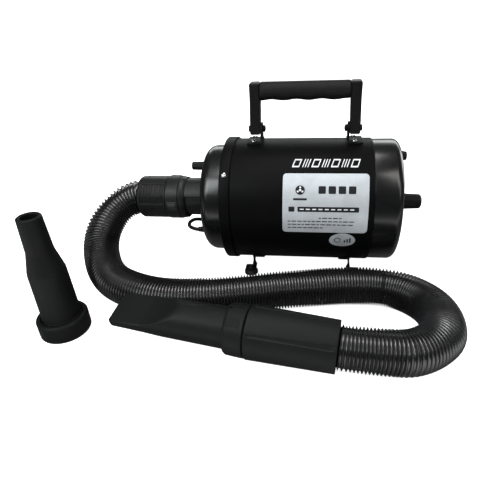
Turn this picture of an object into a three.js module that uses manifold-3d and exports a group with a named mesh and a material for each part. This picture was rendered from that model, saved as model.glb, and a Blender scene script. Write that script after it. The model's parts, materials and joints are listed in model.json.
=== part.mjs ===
// A pet dryer: a barrel-shaped blower with a swing handle, strap feet, a ribbed hose with its hand nozzle,
// and a spare cone nozzle standing beside it. Millimetres, +Z up, floor at z = 0. The barrel's axis runs
// along X, with the air outlet at -X and the filter end at +X. Everything is laid out about a point on the
// floor below that axis; at the end the whole set moves, so that its origin is the middle of its footprint.
import * as THREE from "three";
import { mergeVertices } from "three/addons/utils/BufferGeometryUtils.js";
import Module from "manifold-3d";

const wasm = await Module();
wasm.setup();

// Driving dimensions
const AXIS_HEIGHT = 109; // barrel axis above the floor
const BARREL_R = 89;
const SHEET = 1.8; // wall of the barrel and ring
const BARREL_FRONT = -117;
const BARREL_REAR = 85.5;
const GAP = 0.3; // clearance between neighbouring pieces
const RING_FRONT = -121;
const RING_REAR = -106.5;
const RING_R = 91.4;
const DOME_R = 79.5;
const DOME_FACE = -153;
const SPIGOT_R = 30;
const SPIGOT_END = -206;
const COLLAR_R = 34;
const COLLAR_START = -217;
const COLLAR_END = -188;
const CUFF_R = 31.5;
const HOSE_START = -262;
const HOSE_R = 26;
const HOSE_BORE_R = 22;
const CAP_R = 87.5;
const SKIRT_R = 86.5; // the part of the rear cap that slides into the barrel
const CAP_FACE = 124;
const BUTTON_OFFSET = 66; // height of each push button above or below the barrel's axis
const BUTTON_TRAVEL = 3;
const FILTER_DROP = 3; // the filter and its hand knob sit this far below the barrel's axis
const KNOB_OFFSET = new THREE.Vector2(7, 48.5); // speed knob on the dome: y, and z from the axis
const HANDLE_X = [-76, 59.3]; // the uprights' centres
const UPRIGHT_WIDTH = 14;
const PIVOT_HEIGHT = 215;
const GRIP_HEIGHT = 265.3;
const GRIP_R = 12.8;
const FOOT_X = [-81, 60]; // the straps' legs
const FOOT_Y = 45;
const FOOT_REACH = 7; // a foot's centre stands this far outside its leg
const FOOT_R = 10.5;
const FOOT_HEIGHT = 8;
const LEG_WIDTH = 18;
const STRAP_SHEET = 2.2;
const WAND_LIFT_X = 97; // where the hose's front run bends when the wand is lifted
const NOZZLE_ROLL = THREE.MathUtils.degToRad(12); // how far the flat tip is turned about the wand's axis
const SPARE_AT = [-318.5, -195.5];
const CORD_R = 2.8;
const CORD_EXIT = [-150, -36, 71]; // where the cord leaves the dome

const BLACK = { color: 0x141516, roughness: 0.55, metalness: 0.1 };
const MATERIALS = {
  powder_coat: new THREE.MeshStandardMaterial(BLACK),
  gloss_black: new THREE.MeshStandardMaterial({ ...BLACK, roughness: 0.2 }),
  black_plastic: new THREE.MeshStandardMaterial({ ...BLACK, roughness: 0.6, metalness: 0 }),
  charcoal_plastic: new THREE.MeshStandardMaterial({ color: 0x303234, roughness: 0.7 }),
  hose_plastic: new THREE.MeshStandardMaterial({ ...BLACK, roughness: 0.35, metalness: 0 }),
  rubber: new THREE.MeshStandardMaterial({ color: 0x101010, roughness: 0.9 }),
  steel: new THREE.MeshStandardMaterial({ color: 0xb9bcbf, roughness: 0.3, metalness: 1 }),
  aluminium: new THREE.MeshStandardMaterial({ color: 0xa5a8ab, roughness: 0.4, metalness: 1 }),
  foam: new THREE.MeshStandardMaterial({ color: 0x3a3a3c, roughness: 1 }),
  mica: new THREE.MeshStandardMaterial({ color: 0xb3a27a, roughness: 0.7 }),
  circuit_board: new THREE.MeshStandardMaterial({ color: 0x1f5a38, roughness: 0.5 }),
  brass: new THREE.MeshStandardMaterial({ color: 0xb89545, roughness: 0.35, metalness: 1 }),
};

const dryer = new THREE.Group();
const blower = new THREE.Group(); // its own x axis is the barrel's axis
blower.position.z = AXIS_HEIGHT;
dryer.add(blower);

function add(group, name, material, geometry) {
  const mesh = new THREE.Mesh(geometry, MATERIALS[material]);
  mesh.name = name;
  group.add(mesh);
  return mesh;
}

// Shape helpers

// A closed outline of [x, radius] points turned about the x axis, whichever way round the points run.
function turned(outline, segments = 24) {
  const points = outline.map(([x, r]) => new THREE.Vector2(r, x));
  const closes = points.some((p) => p.x === 0) ? points : [...points, points[0].clone()];
  if (THREE.ShapeUtils.area(points) < 0) closes.reverse();
  return new THREE.LatheGeometry(closes, segments).rotateZ(-Math.PI / 2);
}

function tube(x0, x1, inner, outer, segments = 24) {
  return turned([[x0, inner], [x0, outer], [x1, outer], [x1, inner]], segments);
}

function rod(x0, x1, radius, segments = 16) {
  return turned([[x0, 0], [x0, radius], [x1, radius], [x1, 0]], segments);
}

function box(x0, x1, y0, y1, z0, z1) {
  return new THREE.BoxGeometry(x1 - x0, y1 - y0, z1 - z0)
    .translate((x0 + x1) / 2, (y0 + y1) / 2, (z0 + z1) / 2);
}

// Points of an arc in an [x, radius] outline, from one angle to another in degrees.
function arc(x, r, radiusX, radiusR, from, to, steps) {
  return Array.from({ length: steps + 1 }, (_, i) => {
    const angle = THREE.MathUtils.degToRad(from + ((to - from) * i) / steps);
    return [x + radiusX * Math.cos(angle), r + radiusR * Math.sin(angle)];
  });
}

// A closed [y, z] outline pushed along x.
function pushedAlongX(outline, x0, x1) {
  const shape = new THREE.Shape(outline.map(([y, z]) => new THREE.Vector2(y, z)));
  return new THREE.ExtrudeGeometry(shape, { depth: x1 - x0, bevelEnabled: false })
    .applyMatrix4(new THREE.Matrix4().makeBasis(
      new THREE.Vector3(0, 1, 0), new THREE.Vector3(0, 0, 1), new THREE.Vector3(1, 0, 0)))
    .translate(x0, 0, 0);
}

// A sheet bent about the x axis, between two angles measured from +z towards +y.
function saddle(x0, x1, inner, outer, from, to, steps) {
  const at = (radius, i) => {
    const angle = THREE.MathUtils.degToRad(from + ((to - from) * i) / steps);
    return [radius * Math.sin(angle), radius * Math.cos(angle)];
  };
  const count = [...Array(steps + 1).keys()];
  return pushedAlongX([...count.map((i) => at(outer, i)), ...count.reverse().map((i) => at(inner, i))], x0, x1);
}

// A round bar, or a tube where an inner radius is given, along a curve.
function bar(curve, radius, steps, sides = 12, inner = 0) {
  const circle = (r) => Array.from({ length: sides }, (_, i) => {
    const angle = (2 * Math.PI * i) / sides;
    return new THREE.Vector2(r * Math.cos(angle), r * Math.sin(angle));
  });
  const shape = new THREE.Shape(circle(radius));
  if (inner) shape.holes.push(new THREE.Path(circle(inner).reverse()));
  return new THREE.ExtrudeGeometry(shape, { steps, extrudePath: curve, bevelEnabled: false });
}

function smoothCurve(points) {
  return new THREE.CatmullRomCurve3(points.map((p) => new THREE.Vector3(...p)), false, "centripetal");
}

// Booleans

function solid(geometry) {
  const bare = geometry.index ? geometry.toNonIndexed() : geometry.clone();
  bare.deleteAttribute("normal");
  bare.deleteAttribute("uv");
  const merged = mergeVertices(bare, 1e-3);
  const mesh = new wasm.Mesh({
    numProp: 3,
    vertProperties: merged.attributes.position.array,
    triVerts: new Uint32Array(merged.index.array),
  });
  return new wasm.Manifold(mesh);
}

function geometryOf(manifold) {
  const mesh = manifold.getMesh();
  const geometry = new THREE.BufferGeometry();
  geometry.setAttribute("position", new THREE.BufferAttribute(mesh.vertProperties, 3));
  geometry.setIndex(new THREE.BufferAttribute(mesh.triVerts, 1));
  return geometry;
}

function shaped(base, joins, cuts = []) {
  const joined = joins.reduce((whole, piece) => whole.add(solid(piece)), solid(base));
  return geometryOf(cuts.reduce((whole, piece) => whole.subtract(solid(piece)), joined));
}

// A short bar pointing outwards from the x axis, at an angle from +z towards +y.
function radialRod(x, angle, from, to, radius, segments = 12) {
  return rod(from, to, radius, segments)
    .rotateY(-Math.PI / 2)
    .rotateX(-THREE.MathUtils.degToRad(angle))
    .translate(x, 0, 0);
}

function aroundX(geometry, degrees) {
  return geometry.clone().rotateX(THREE.MathUtils.degToRad(degrees));
}

// Casing

const RING_SCREW_X = (RING_FRONT + RING_REAR) / 2;
const RING_SCREW_ANGLES = [-48, 72, 192];
const SHANK_R = 1.7;
const SCREW_HOLE_R = SHANK_R + GAP;
const BRACKET_SCREW_ANGLE = 6.9;
const SADDLE_IN = BARREL_R + GAP;
const SADDLE_OUT = SADDLE_IN + STRAP_SHEET;
const BRACKET_SCREW_X = [-80, 60];

function buildBarrel() {
  const inner = BARREL_R - SHEET;
  const shell = turned([
    [BARREL_FRONT, 84], [BARREL_FRONT, BARREL_R], [BARREL_REAR, BARREL_R], [BARREL_REAR, inner],
    [BARREL_FRONT + SHEET, inner], [BARREL_FRONT + SHEET, 84],
  ], 24);
  const holes = [
    ...RING_SCREW_ANGLES.map((angle) => radialRod(RING_SCREW_X, angle, 80, 95, SCREW_HOLE_R, 6)),
    ...BRACKET_SCREW_X.flatMap((x) => [-1, 1].map((side) =>
      radialRod(x, side * BRACKET_SCREW_ANGLE, 80, 95, SCREW_HOLE_R, 6))),
  ];
  add(blower, "barrel_shell", "powder_coat", shaped(shell, [], holes));
  add(blower, "acoustic_liner", "foam", tube(-108, 64, 77, 84.6));
}

function buildFrontEnd() {
  const edge = 2;
  const shoulder = arc(RING_FRONT + edge, RING_R - edge, edge, edge, 180, 90, 2);
  const ring = turned([
    [RING_FRONT, DOME_R + 0.8], ...shoulder, [RING_REAR - 0.8, RING_R], [RING_REAR, RING_R - 0.8],
    [RING_REAR, BARREL_R + GAP], [RING_FRONT + 1.6, BARREL_R + GAP], [RING_FRONT + 1.2, BARREL_R - 1],
    [RING_FRONT + 1.2, DOME_R + 0.8],
  ], 24);
  const holes = RING_SCREW_ANGLES.map((angle) => radialRod(RING_SCREW_X, angle, 80, 95, SCREW_HOLE_R, 6));
  add(blower, "front_ring", "powder_coat", shaped(ring, [], holes));

  RING_SCREW_ANGLES.forEach((angle, i) => {
    add(blower, `ring_screw_${i + 1}`, "steel", screw(RING_SCREW_X, angle, 91.8));
  });

  const wall = 2.4;
  const flangeR = 85;
  const outside = arc(DOME_FACE + 15, 64, 15, 15.3, 180, 95, 5);
  const inside = arc(DOME_FACE + 15, 64, 15 - wall, 15.3 - wall, 95, 180, 3);
  const dome = turned([
    [DOME_FACE, 27], ...outside, [-119.5, DOME_R], [-119.5, flangeR], [-118.3, flangeR],
    [-118.3, DOME_R - wall], ...inside, [DOME_FACE + wall, 27],
  ], 24);
  const cuts = [
    rod(-160, -140, SPIGOT_R + GAP, 24),
    rod(-160, -140, 3.7, 12).translate(0, KNOB_OFFSET.x, KNOB_OFFSET.y),
    rod(-160, -140, CORD_R + 1.3, 12).translate(0, CORD_EXIT[1], CORD_EXIT[2] - AXIS_HEIGHT),
  ];
  add(blower, "front_dome", "gloss_black", shaped(dome, [], cuts));
  add(blower, "front_gasket", "rubber", tube(-118, BARREL_FRONT - GAP, 79.5, 87));

  const spigot = turned([
    [SPIGOT_END, 26.5], [SPIGOT_END, SPIGOT_R - 1], [SPIGOT_END + 3, SPIGOT_R],
    [DOME_FACE + wall + GAP, SPIGOT_R], [DOME_FACE + wall + GAP, 38], [DOME_FACE + wall + 2.3, 38],
    [DOME_FACE + wall + 2.3, 26.5],
  ]);
  add(blower, "outlet_spigot", "charcoal_plastic", spigot);
}

// A domed screw head on a plain shank that points at the x axis, with its head resting at the given radius.
function screw(x, angle, seat) {
  const head = turned([[seat, 0], [seat, 3.8], [seat + 1.2, 3.3], [seat + 1.9, 1.8], [seat + 1.9, 0]], 10);
  return shaped(head, [rod(seat - 6, seat + 1, SHANK_R, 6)])
    .rotateY(-Math.PI / 2)
    .rotateX(-THREE.MathUtils.degToRad(angle))
    .translate(x, 0, 0);
}

function buildRearEnd() {
  const edge = 10;
  const wall = 2;
  const opening = 50;
  const outside = arc(CAP_FACE - edge, CAP_R - edge, edge, edge, 90, 0, 4);
  const inside = arc(CAP_FACE - edge, CAP_R - edge, edge - wall, edge - wall, 0, 90, 2);
  const cap = turned([
    [68, SKIRT_R - wall], [68, SKIRT_R], [BARREL_REAR + GAP, SKIRT_R], [BARREL_REAR + GAP, CAP_R],
    ...outside, [CAP_FACE, opening], [CAP_FACE - wall, opening], ...inside, [90, CAP_R - wall],
    [88, SKIRT_R - wall],
  ], 24);
  const spider = geometryOf(solid(box(99, 103, -CAP_R + 1, CAP_R - 1, -5, 5))
    .add(solid(rod(99, 103, 9).translate(0, 0, -FILTER_DROP))));
  const cuts = [
    rod(90, 130, 3 + GAP, 12).translate(0, 0, -FILTER_DROP),
    ...[-1, 1].map((side) => rod(CAP_FACE - 10, CAP_FACE + 5, 6.2, 16).translate(0, 0, side * BUTTON_OFFSET)),
  ];
  add(blower, "rear_cap", "gloss_black", shaped(cap, [spider], cuts));

  const cover = turned([
    [CAP_FACE + GAP, 0], [CAP_FACE + GAP, 54], [CAP_FACE + 1.6, 54], [CAP_FACE + 2.6, 52],
    [CAP_FACE + 2.6, 30], [CAP_FACE + 8.5, 14], [CAP_FACE + 10, 13], [CAP_FACE + 10, 0],
  ], 20);
  const slot = saddle(CAP_FACE - 1, CAP_FACE + 4, 35, 45, -25, 25, 2);
  const slots = [0, 1, 2, 3, 4, 5].map((i) => aroundX(slot, 60 * i));
  const bore = rod(CAP_FACE - 1, CAP_FACE + 12, 3 + GAP, 12);
  const hollow = rod(CAP_FACE - 1, CAP_FACE + 6, 10, 16);
  const filter = new THREE.Group();
  filter.position.z = -FILTER_DROP;
  blower.add(filter);
  add(filter, "filter_cover", "black_plastic", shaped(cover, [], [...slots, bore, hollow]));
  add(filter, "filter_foam", "foam", tube(103.5, CAP_FACE - 2.5, 4, 46));
  add(filter, "filter_stud", "steel", shaped(rod(95, 98.7, 7, 6), [rod(98, 158, 3, 12)]));
  const knobStart = CAP_FACE + 10.4;
  const knobEnd = CAP_FACE + 39;
  const knob = turned([
    [knobEnd - 4, 0], [knobEnd - 4, 3 + GAP], [knobStart, 3 + GAP], [knobStart, 11.6], [knobEnd - 2.5, 10.8],
    [knobEnd, 8.6], [knobEnd, 0],
  ], 16);
  add(filter, "filter_knob", "black_plastic", knob);

  for (const [name, side] of [["motor", 1], ["heat", -1]]) {
    const z = side * BUTTON_OFFSET;
    const seat = CAP_FACE + GAP + BUTTON_TRAVEL;
    const button = turned([
      [107.5, 0], [107.5, 5.6], [seat, 5.6], [seat, 7.25], [seat + 5, 7.25], [seat + 7, 5.4], [seat + 7, 0],
    ], 14);
    add(blower, `${name}_button`, "rubber", button.translate(0, 0, z));
    add(blower, `${name}_switch`, "black_plastic", box(82, 104, -8, 8, z - 8, z + 8));
  }
}

function buildSpeedControl() {
  const tip = DOME_FACE - 25.5;
  const base = DOME_FACE - 1;
  const body = turned([
    [tip + 7.5, 0], [tip + 7.5, 2.8], [base - 4, 2.8], [base - 4, 3.4], [DOME_FACE + 5.5, 3.4],
    [DOME_FACE + 5.5, 9], [DOME_FACE + 15, 9], [DOME_FACE + 15, 0],
  ], 12);
  const knob = turned([
    [tip + 6.5, 0], [tip + 6.5, 3.1], [base - 5, 3.1], [base - 5, 5], [base, 5], [base, 6.7],
    [tip + 1.5, 6.7], [tip, 5.4], [tip, 0],
  ], 16);
  add(blower, "speed_pot", "aluminium", body.translate(0, KNOB_OFFSET.x, KNOB_OFFSET.y));
  add(blower, "speed_knob", "black_plastic", knob.translate(0, KNOB_OFFSET.x, KNOB_OFFSET.y));
  const board = shaped(box(-136.5, -134.9, -19, 31, 41, 62), [
    box(-135.4, -124, -14, 6, 45, 59),
    box(-135.4, -127, 11, 23, 44, 56),
  ]);
  add(blower, "control_board", "circuit_board", board);
}

// Motor, fan and heater inside the barrel

function buildAirPath() {
  const shaftR = 4;
  const canR = 48;
  const can = turned([
    [-47, 11.4], [-47, canR - 3], [-44, canR], [13.5, canR], [13.5, 11.4], [9, 11.4], [9, 43], [6, 43],
    [6, 27], [-32, 27], [-32, 43], [-43, 43], [-43, 11.4],
  ], 20);
  const vents = [0, 1, 2, 3].map((i) => aroundX(box(-41, -35, -12, 12, 38, 52), 90 * i + 45));
  add(blower, "motor_can", "aluminium", shaped(can, [], vents));
  const shaft = shaped(rod(-50, 48, shaftR), [rod(-31, 5, 25.5, 24)]);
  add(blower, "motor_shaft", "steel", shaft);
  add(blower, "bearing_front", "steel", tube(-46.5, -39.5, shaftR + GAP, 11, 14));
  add(blower, "bearing_rear", "steel", tube(6.5, 13, shaftR + GAP, 11, 14));

  const shroud = turned([
    [14, 12], [14, 65], [52, 65], [52, 21], [50.4, 21], [50.4, 63.4], [15.6, 63.4], [15.6, 12],
  ]);
  const outlets = [0, 1, 2, 3, 4, 5].map((i) => aroundX(saddle(13, 17, 51, 60, -18, 18, 3), 60 * i));
  add(blower, "fan_shroud", "aluminium", shaped(shroud, [], outlets));

  const blade = () => {
    const outer = new THREE.CatmullRomCurve3([[10, 0], [24, 9], [40, 10], [58.5, 2]].map(([y, z]) =>
      new THREE.Vector3(y, z, 0)));
    const edge = outer.getPoints(4).map((p) => [p.x, p.y]);
    return pushedAlongX([...edge, ...edge.map(([y, z]) => [y, z - 1.6]).reverse()], 23, 42);
  };
  const impeller = shaped(
    tube(21, 23.5, shaftR + GAP, 60),
    [
      tube(21, 44, shaftR + GAP, 11, 14),
      tube(41, 43, 23, 60),
      ...[...Array(8).keys()].map((i) => aroundX(blade(), 45 * i)),
    ],
  );
  add(blower, "impeller", "aluminium", impeller);
  add(blower, "motor_mount", "rubber", tube(24, 34, 65.4, 76.6));

  const frame = shaped(box(-104, -62, -52, 52, -1, 1), [
    box(-104, -62, -1, 1, -52, 52),
    tube(-64, -61, 50, 76.5),
  ]);
  add(blower, "heater_frame", "mica", frame);
  const turns = 4;
  const helix = new THREE.Curve();
  helix.getPoint = (t, target = new THREE.Vector3()) => {
    const angle = 2 * Math.PI * turns * t + 0.3;
    return target.set(-101 + 34 * t, 56 * Math.cos(angle), 56 * Math.sin(angle));
  };
  add(blower, "heater_coil", "steel", bar(helix, 1.3, turns * 14, 4));
}

// Handle

function buildHandle() {
  const pivot = PIVOT_HEIGHT - AXIS_HEIGHT;
  const half = UPRIGHT_WIDTH / 2;
  const tabThickness = 2.5;
  ["left", "right"].forEach((side, i) => {
    const outward = i ? 1 : -1;
    const foot = HANDLE_X[i] + outward * 1.2; // an upright leans outwards a little towards its lower end
    const face = foot - outward * (half + GAP); // the side of the tab that the upright turns against
    const [t0, t1] = [face, face - outward * tabThickness].sort((a, b) => a - b);
    const [x0, x1] = [face - outward * tabThickness, foot + outward * 14].sort((a, b) => a - b);
    const tab = pushedAlongX([[-9, 91], [9, 91], [9, 110], [5, 114], [-5, 114], [-9, 110]], t0, t1);
    const cuts = [
      rod(t0 - 1, t1 + 1, 2.9 + GAP).translate(0, 0, pivot),
      ...[-1, 1].map((s) => radialRod(BRACKET_SCREW_X[i], s * BRACKET_SCREW_ANGLE, 80, 95, SCREW_HOLE_R, 6)),
    ];
    add(blower, `handle_bracket_${side}`, "powder_coat",
      shaped(saddle(x0, x1, SADDLE_IN, SADDLE_OUT, -11, 11, 6), [tab], cuts));
    [-1, 1].forEach((s) => {
      add(blower, `bracket_screw_${side}_${s < 0 ? "front" : "back"}`, "steel",
        screw(BRACKET_SCREW_X[i], s * BRACKET_SCREW_ANGLE, SADDLE_OUT + GAP));
    });

    const profile = new THREE.Shape([
      [foot - half, 208], [foot + half, 208], [foot + half, 221], [HANDLE_X[i] + half, 255],
      [HANDLE_X[i] + half, 273], [HANDLE_X[i] + half - 3, 276.2], [HANDLE_X[i] - half + 3, 276.2],
      [HANDLE_X[i] - half, 273], [HANDLE_X[i] - half, 255], [foot - half, 221],
    ].map(([x, z]) => new THREE.Vector2(x, z - AXIS_HEIGHT)));
    const upright = new THREE.ExtrudeGeometry(profile, { depth: 20, bevelEnabled: false })
      .rotateX(Math.PI / 2)
      .translate(0, 10, 0);
    const holes = [
      rod(foot - 12, foot + 12, 2.9 + GAP).translate(0, 0, pivot),
      rod(HANDLE_X[i] - 12, HANDLE_X[i] + 12, 6 + GAP).translate(0, 0, GRIP_HEIGHT - AXIS_HEIGHT),
    ];
    add(blower, `handle_upright_${side}`, "black_plastic", shaped(upright, [], holes));

    const outer = foot + outward * (half + GAP);
    const inner = face - outward * (tabThickness + GAP);
    const span = (a, b, r, n) => rod(Math.min(a, b), Math.max(a, b), r, n);
    const bolt = shaped(span(outer + outward * 2.4, inner - outward * 3, 2.9, 12), [
      span(outer, outer + outward * 2.6, 4.6, 6),
      span(inner, inner - outward * 3.2, 5, 6),
    ]);
    add(blower, `pivot_bolt_${side}`, "steel", bolt.translate(0, 0, pivot));
  });

  const ends = [HANDLE_X[0] + UPRIGHT_WIDTH / 2 + GAP, HANDLE_X[1] - UPRIGHT_WIDTH / 2 - GAP];
  const spigots = [HANDLE_X[0] - 3, HANDLE_X[1] + 3];
  const grip = turned([
    [spigots[0], 0], [spigots[0], 6], [ends[0], 6], [ends[0], GRIP_R - 1], [ends[0] + 2, GRIP_R],
    [ends[1] - 2, GRIP_R], [ends[1], GRIP_R - 1], [ends[1], 6], [spigots[1], 6], [spigots[1], 0],
  ], 16);
  add(blower, "handle_grip", "rubber", grip.translate(0, 0, GRIP_HEIGHT - AXIS_HEIGHT));
}

// Feet

// A leg in one strip with the flange it stands on, seen along the barrel's length: it leaves the strap round
// the barrel, bows outwards, comes back and turns outwards again under the flange.
function leg(x, outward, y, low) {
  const half = STRAP_SHEET / 2;
  const bow = [[0, -66], [0.4, -82], [1.6, -87], [1.2, -93], [-0.6, low + 4], [-0.8, low + STRAP_SHEET]];
  const end = FOOT_REACH + FOOT_R - 2;
  const outline = [
    ...bow.map(([out, z]) => [out - half, z]), [half - 2, low], [end, low], [end, low + STRAP_SHEET],
    ...bow.reverse().map(([out, z]) => [out + half, z]),
  ];
  const shape = new THREE.Shape(outline.map(([out, z]) => new THREE.Vector2(x + outward * out, z)));
  const strip = new THREE.ExtrudeGeometry(shape, { depth: LEG_WIDTH, bevelEnabled: false })
    .rotateX(Math.PI / 2)
    .translate(0, y + LEG_WIDTH / 2, 0);
  return shaped(strip, [], [rod(x - 10, x + 10, SADDLE_IN + GAP, 48)]);
}

// Two sheet straps cradle the barrel from below, with a leg at each end of each strap.
function buildFeet() {
  const names = ["left", "right"];
  const reach = 38; // half of a strap's wrap, in degrees
  const low = FOOT_HEIGHT + GAP - AXIS_HEIGHT; // underside of a flange, in the blower's own height
  const top = AXIS_HEIGHT + low + STRAP_SHEET + GAP; // height above which a foot's neck spreads
  const neck = 2.1;
  FOOT_X.forEach((x, i) => {
    const outward = i ? 1 : -1;
    const footX = x + outward * FOOT_REACH;
    const width = [x + outward * 1.5, x - outward * 14].sort((a, b) => a - b);
    const strap = saddle(...width, SADDLE_IN, SADDLE_OUT, 180 - reach, 180 + reach, 12);
    const legs = [-FOOT_Y, FOOT_Y].map((y) => leg(x, outward, y, low));
    const holes = [-FOOT_Y, FOOT_Y].map((y) =>
      rod(-FOOT_HEIGHT, FOOT_HEIGHT, neck + GAP, 10).rotateY(-Math.PI / 2).translate(footX, y, low));
    add(blower, `foot_bracket_${names[i]}`, "powder_coat", shaped(strap, legs, holes));
    for (const [end, y] of [["front", -FOOT_Y], ["back", FOOT_Y]]) {
      const foot = turned([
        [0, 0], [0, FOOT_R - 2.1], [1.2, FOOT_R], [FOOT_HEIGHT - 1.2, FOOT_R], [FOOT_HEIGHT, FOOT_R - 1.1],
        [FOOT_HEIGHT, neck], [top, neck], [top, 2 * neck], [top + 1.6, 3.2], [top + 1.6, 0],
      ], 12);
      add(dryer, `rubber_foot_${names[i]}_${end}`, "rubber", foot.rotateY(-Math.PI / 2).translate(footX, y, 0));
    }
  });
}

// Hose, hand nozzle and spare nozzle

// Centre line of the hose, from the outlet round the left-hand drop, along the floor and back to the wand.
const HOSE_DROP = [
  [HOSE_START - GAP, 0, AXIS_HEIGHT], [-267, 0, AXIS_HEIGHT], [-286, -5, 104], [-304, -18, 92],
  [-316, -38, 76], [-318, -59, 59], [-311, -80, 46], [-296, -104, 36], [-273, -125, 30],
];
const HOSE_RUN = [
  [-233, -143, 27], [-192, -151, 26], [-143, -148, 26], [-90, -138, 26], [-36, -125, 26], [5, -117, 26],
  [46, -110, 26], [90, -108, 26],
];
const HOSE_LOOP = [
  [113, -112, 26], [132, -121, 26], [146, -133, 26], [157, -148, 26], [163, -166, 26], [163.5, -180, 26],
  [163.5, -185, 26],
];
const HOSE_RETURN = [
  [163.5, -185 - 2 * GAP, 26], [163.5, -190, 26], [158, -205, 27], [148, -218, 28], [132, -231, 29],
  [115, -239, 30], [WAND_LIFT_X + 6, -241, 31], [WAND_LIFT_X, -241, 31],
];
// The wand's straight axis: where the hose enters it, and the tip of its nozzle.
const WAND_TAIL = new THREE.Vector3(39, -238, 32.5);
const WAND_TIP = new THREE.Vector3(-234.5, -201, 42);

// The hose along part of its centre line, cut square at both ends.
function hose(points, steps, sides = 8) {
  return bar(smoothCurve(points), HOSE_R, steps, sides, HOSE_BORE_R);
}

function buildHose() {
  const collar = turned([
    [COLLAR_START, SPIGOT_R + GAP], [COLLAR_START, COLLAR_R], [COLLAR_END - 10, COLLAR_R],
    [COLLAR_END - 2, COLLAR_R - 2], [COLLAR_END, COLLAR_R - 3], [COLLAR_END, SPIGOT_R + GAP],
  ]);
  const cuffEnd = COLLAR_START - GAP;
  const cuff = turned([
    [HOSE_START, 24.5], [HOSE_START, CUFF_R - 3.5], [HOSE_START + 7, CUFF_R], [cuffEnd, CUFF_R],
    [cuffEnd, SPIGOT_R - 0.2], [SPIGOT_END - GAP, SPIGOT_R - 0.2], [SPIGOT_END - GAP, 24.5],
  ]);
  add(blower, "hose_collar", "charcoal_plastic", collar);
  add(blower, "hose_cuff", "charcoal_plastic", cuff);
  add(dryer, "hose_rear", "hose_plastic",
    hose([...HOSE_DROP, ...HOSE_RUN, ...HOSE_LOOP], 34));
  add(dryer, "hose_middle", "hose_plastic", hose(HOSE_RETURN, 8));
  const back = WAND_TAIL.clone().sub(WAND_TIP).normalize();
  const entry = [GAP, 6].map((along) => WAND_TAIL.clone().addScaledVector(back, along).toArray());
  add(dryer, "hose_front", "hose_plastic",
    hose([[WAND_LIFT_X - 2 * GAP, -241, 31], [WAND_LIFT_X - 6, -241, 31], entry[1], entry[0]], 4));
}

// Everything held in the hand: its own x axis points back along the wand, from the nozzle ring's front.
function buildWand() {
  const wand = new THREE.Group();
  const back = WAND_TAIL.clone().sub(WAND_TIP);
  const total = back.length();
  const length = 141; // of the nozzle, in front of its ring
  wand.quaternion.setFromUnitVectors(new THREE.Vector3(1, 0, 0), back.normalize());
  wand.position.copy(WAND_TIP).addScaledVector(back, length);
  dryer.add(wand);
  const sleeveEnd = total - length;
  const sleeve = turned([
    [31.5, 27], [31.5, 31.8], [33, 32.6], [sleeveEnd - 1, 30.4], [sleeveEnd, 29.6], [sleeveEnd, 27],
  ]);
  add(wand, "handpiece_sleeve", "charcoal_plastic", sleeve);
  const ring = turned([[6.5, 26.2], [6.5, 29], [9.5, 31.2], [31.2, 31.8], [31.2, 26.2]]);
  add(wand, "nozzle_ring", "charcoal_plastic", ring);

  // A tapering tube, sliced flat above and below towards its tip.
  const sides = 16;
  const stations = [
    { x: 28, r: 25.8, flat: 30 }, { x: 6, r: 25.2, flat: 30 }, { x: -62, r: 24, flat: 24 },
    { x: -72, r: 23.9, flat: 19 }, { x: -82, r: 23.8, flat: 13 }, { x: -92, r: 23.7, flat: 8.8 },
    { x: -102, r: 23.6, flat: 7 }, { x: 3 - length, r: 23.3, flat: 5 }, { x: -length, r: 21, flat: 4.6 },
  ];
  const ringAt = ({ x, r, flat }, wall) => Array.from({ length: sides }, (_, i) => {
    const angle = (2 * Math.PI * (i + 0.5)) / sides;
    const height = THREE.MathUtils.clamp((r - wall) * Math.sin(angle), wall - flat, flat - wall);
    return [x, (r - wall) * Math.cos(angle), height];
  });
  const outer = stations.map((s) => ringAt(s, 0));
  const inner = stations.map((s) => ringAt(s, 2.2)).reverse();
  add(wand, "flat_nozzle", "charcoal_plastic", loft([...outer, ...inner])).rotation.x = NOZZLE_ROLL;
}

// A closed skin over rings of points, the last ring joining back to the first.
function loft(rings) {
  const sides = rings[0].length;
  const positions = rings.flat(2);
  const index = [];
  rings.forEach((_, r) => {
    const next = (r + 1) % rings.length;
    for (let i = 0; i < sides; i++) {
      const j = (i + 1) % sides;
      const [a, b, c, d] = [r * sides + i, r * sides + j, next * sides + j, next * sides + i];
      index.push(a, c, b, a, d, c);
    }
  });
  const geometry = new THREE.BufferGeometry();
  geometry.setAttribute("position", new THREE.Float32BufferAttribute(positions, 3));
  geometry.setIndex(index);
  if (solid(geometry).volume() < 0) geometry.setIndex(index.reverse());
  return geometry;
}

function buildSpareNozzle() {
  const upright = new THREE.Group(); // its own x axis points up
  upright.position.set(...SPARE_AT, 0);
  upright.rotation.y = -Math.PI / 2;
  dryer.add(upright);
  const ring = turned([[0, 25.2], [0, 31.4], [1.5, 32.3], [23, 32.3], [25, 30.8], [25, 25.2]]);
  const cone = turned([
    [1, 21], [1, 24.9], [25.4, 24.9], [25.4, 24], [95, 22.6], [108, 20], [122, 16.4], [167, 14.3],
    [167, 9.5], [122, 12.5], [95, 19.6],
  ]);
  add(upright, "spare_ring", "charcoal_plastic", ring);
  add(upright, "spare_nozzle", "charcoal_plastic", cone);
}

// Power cord

const PLUG_AT = [70, 118];

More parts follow.
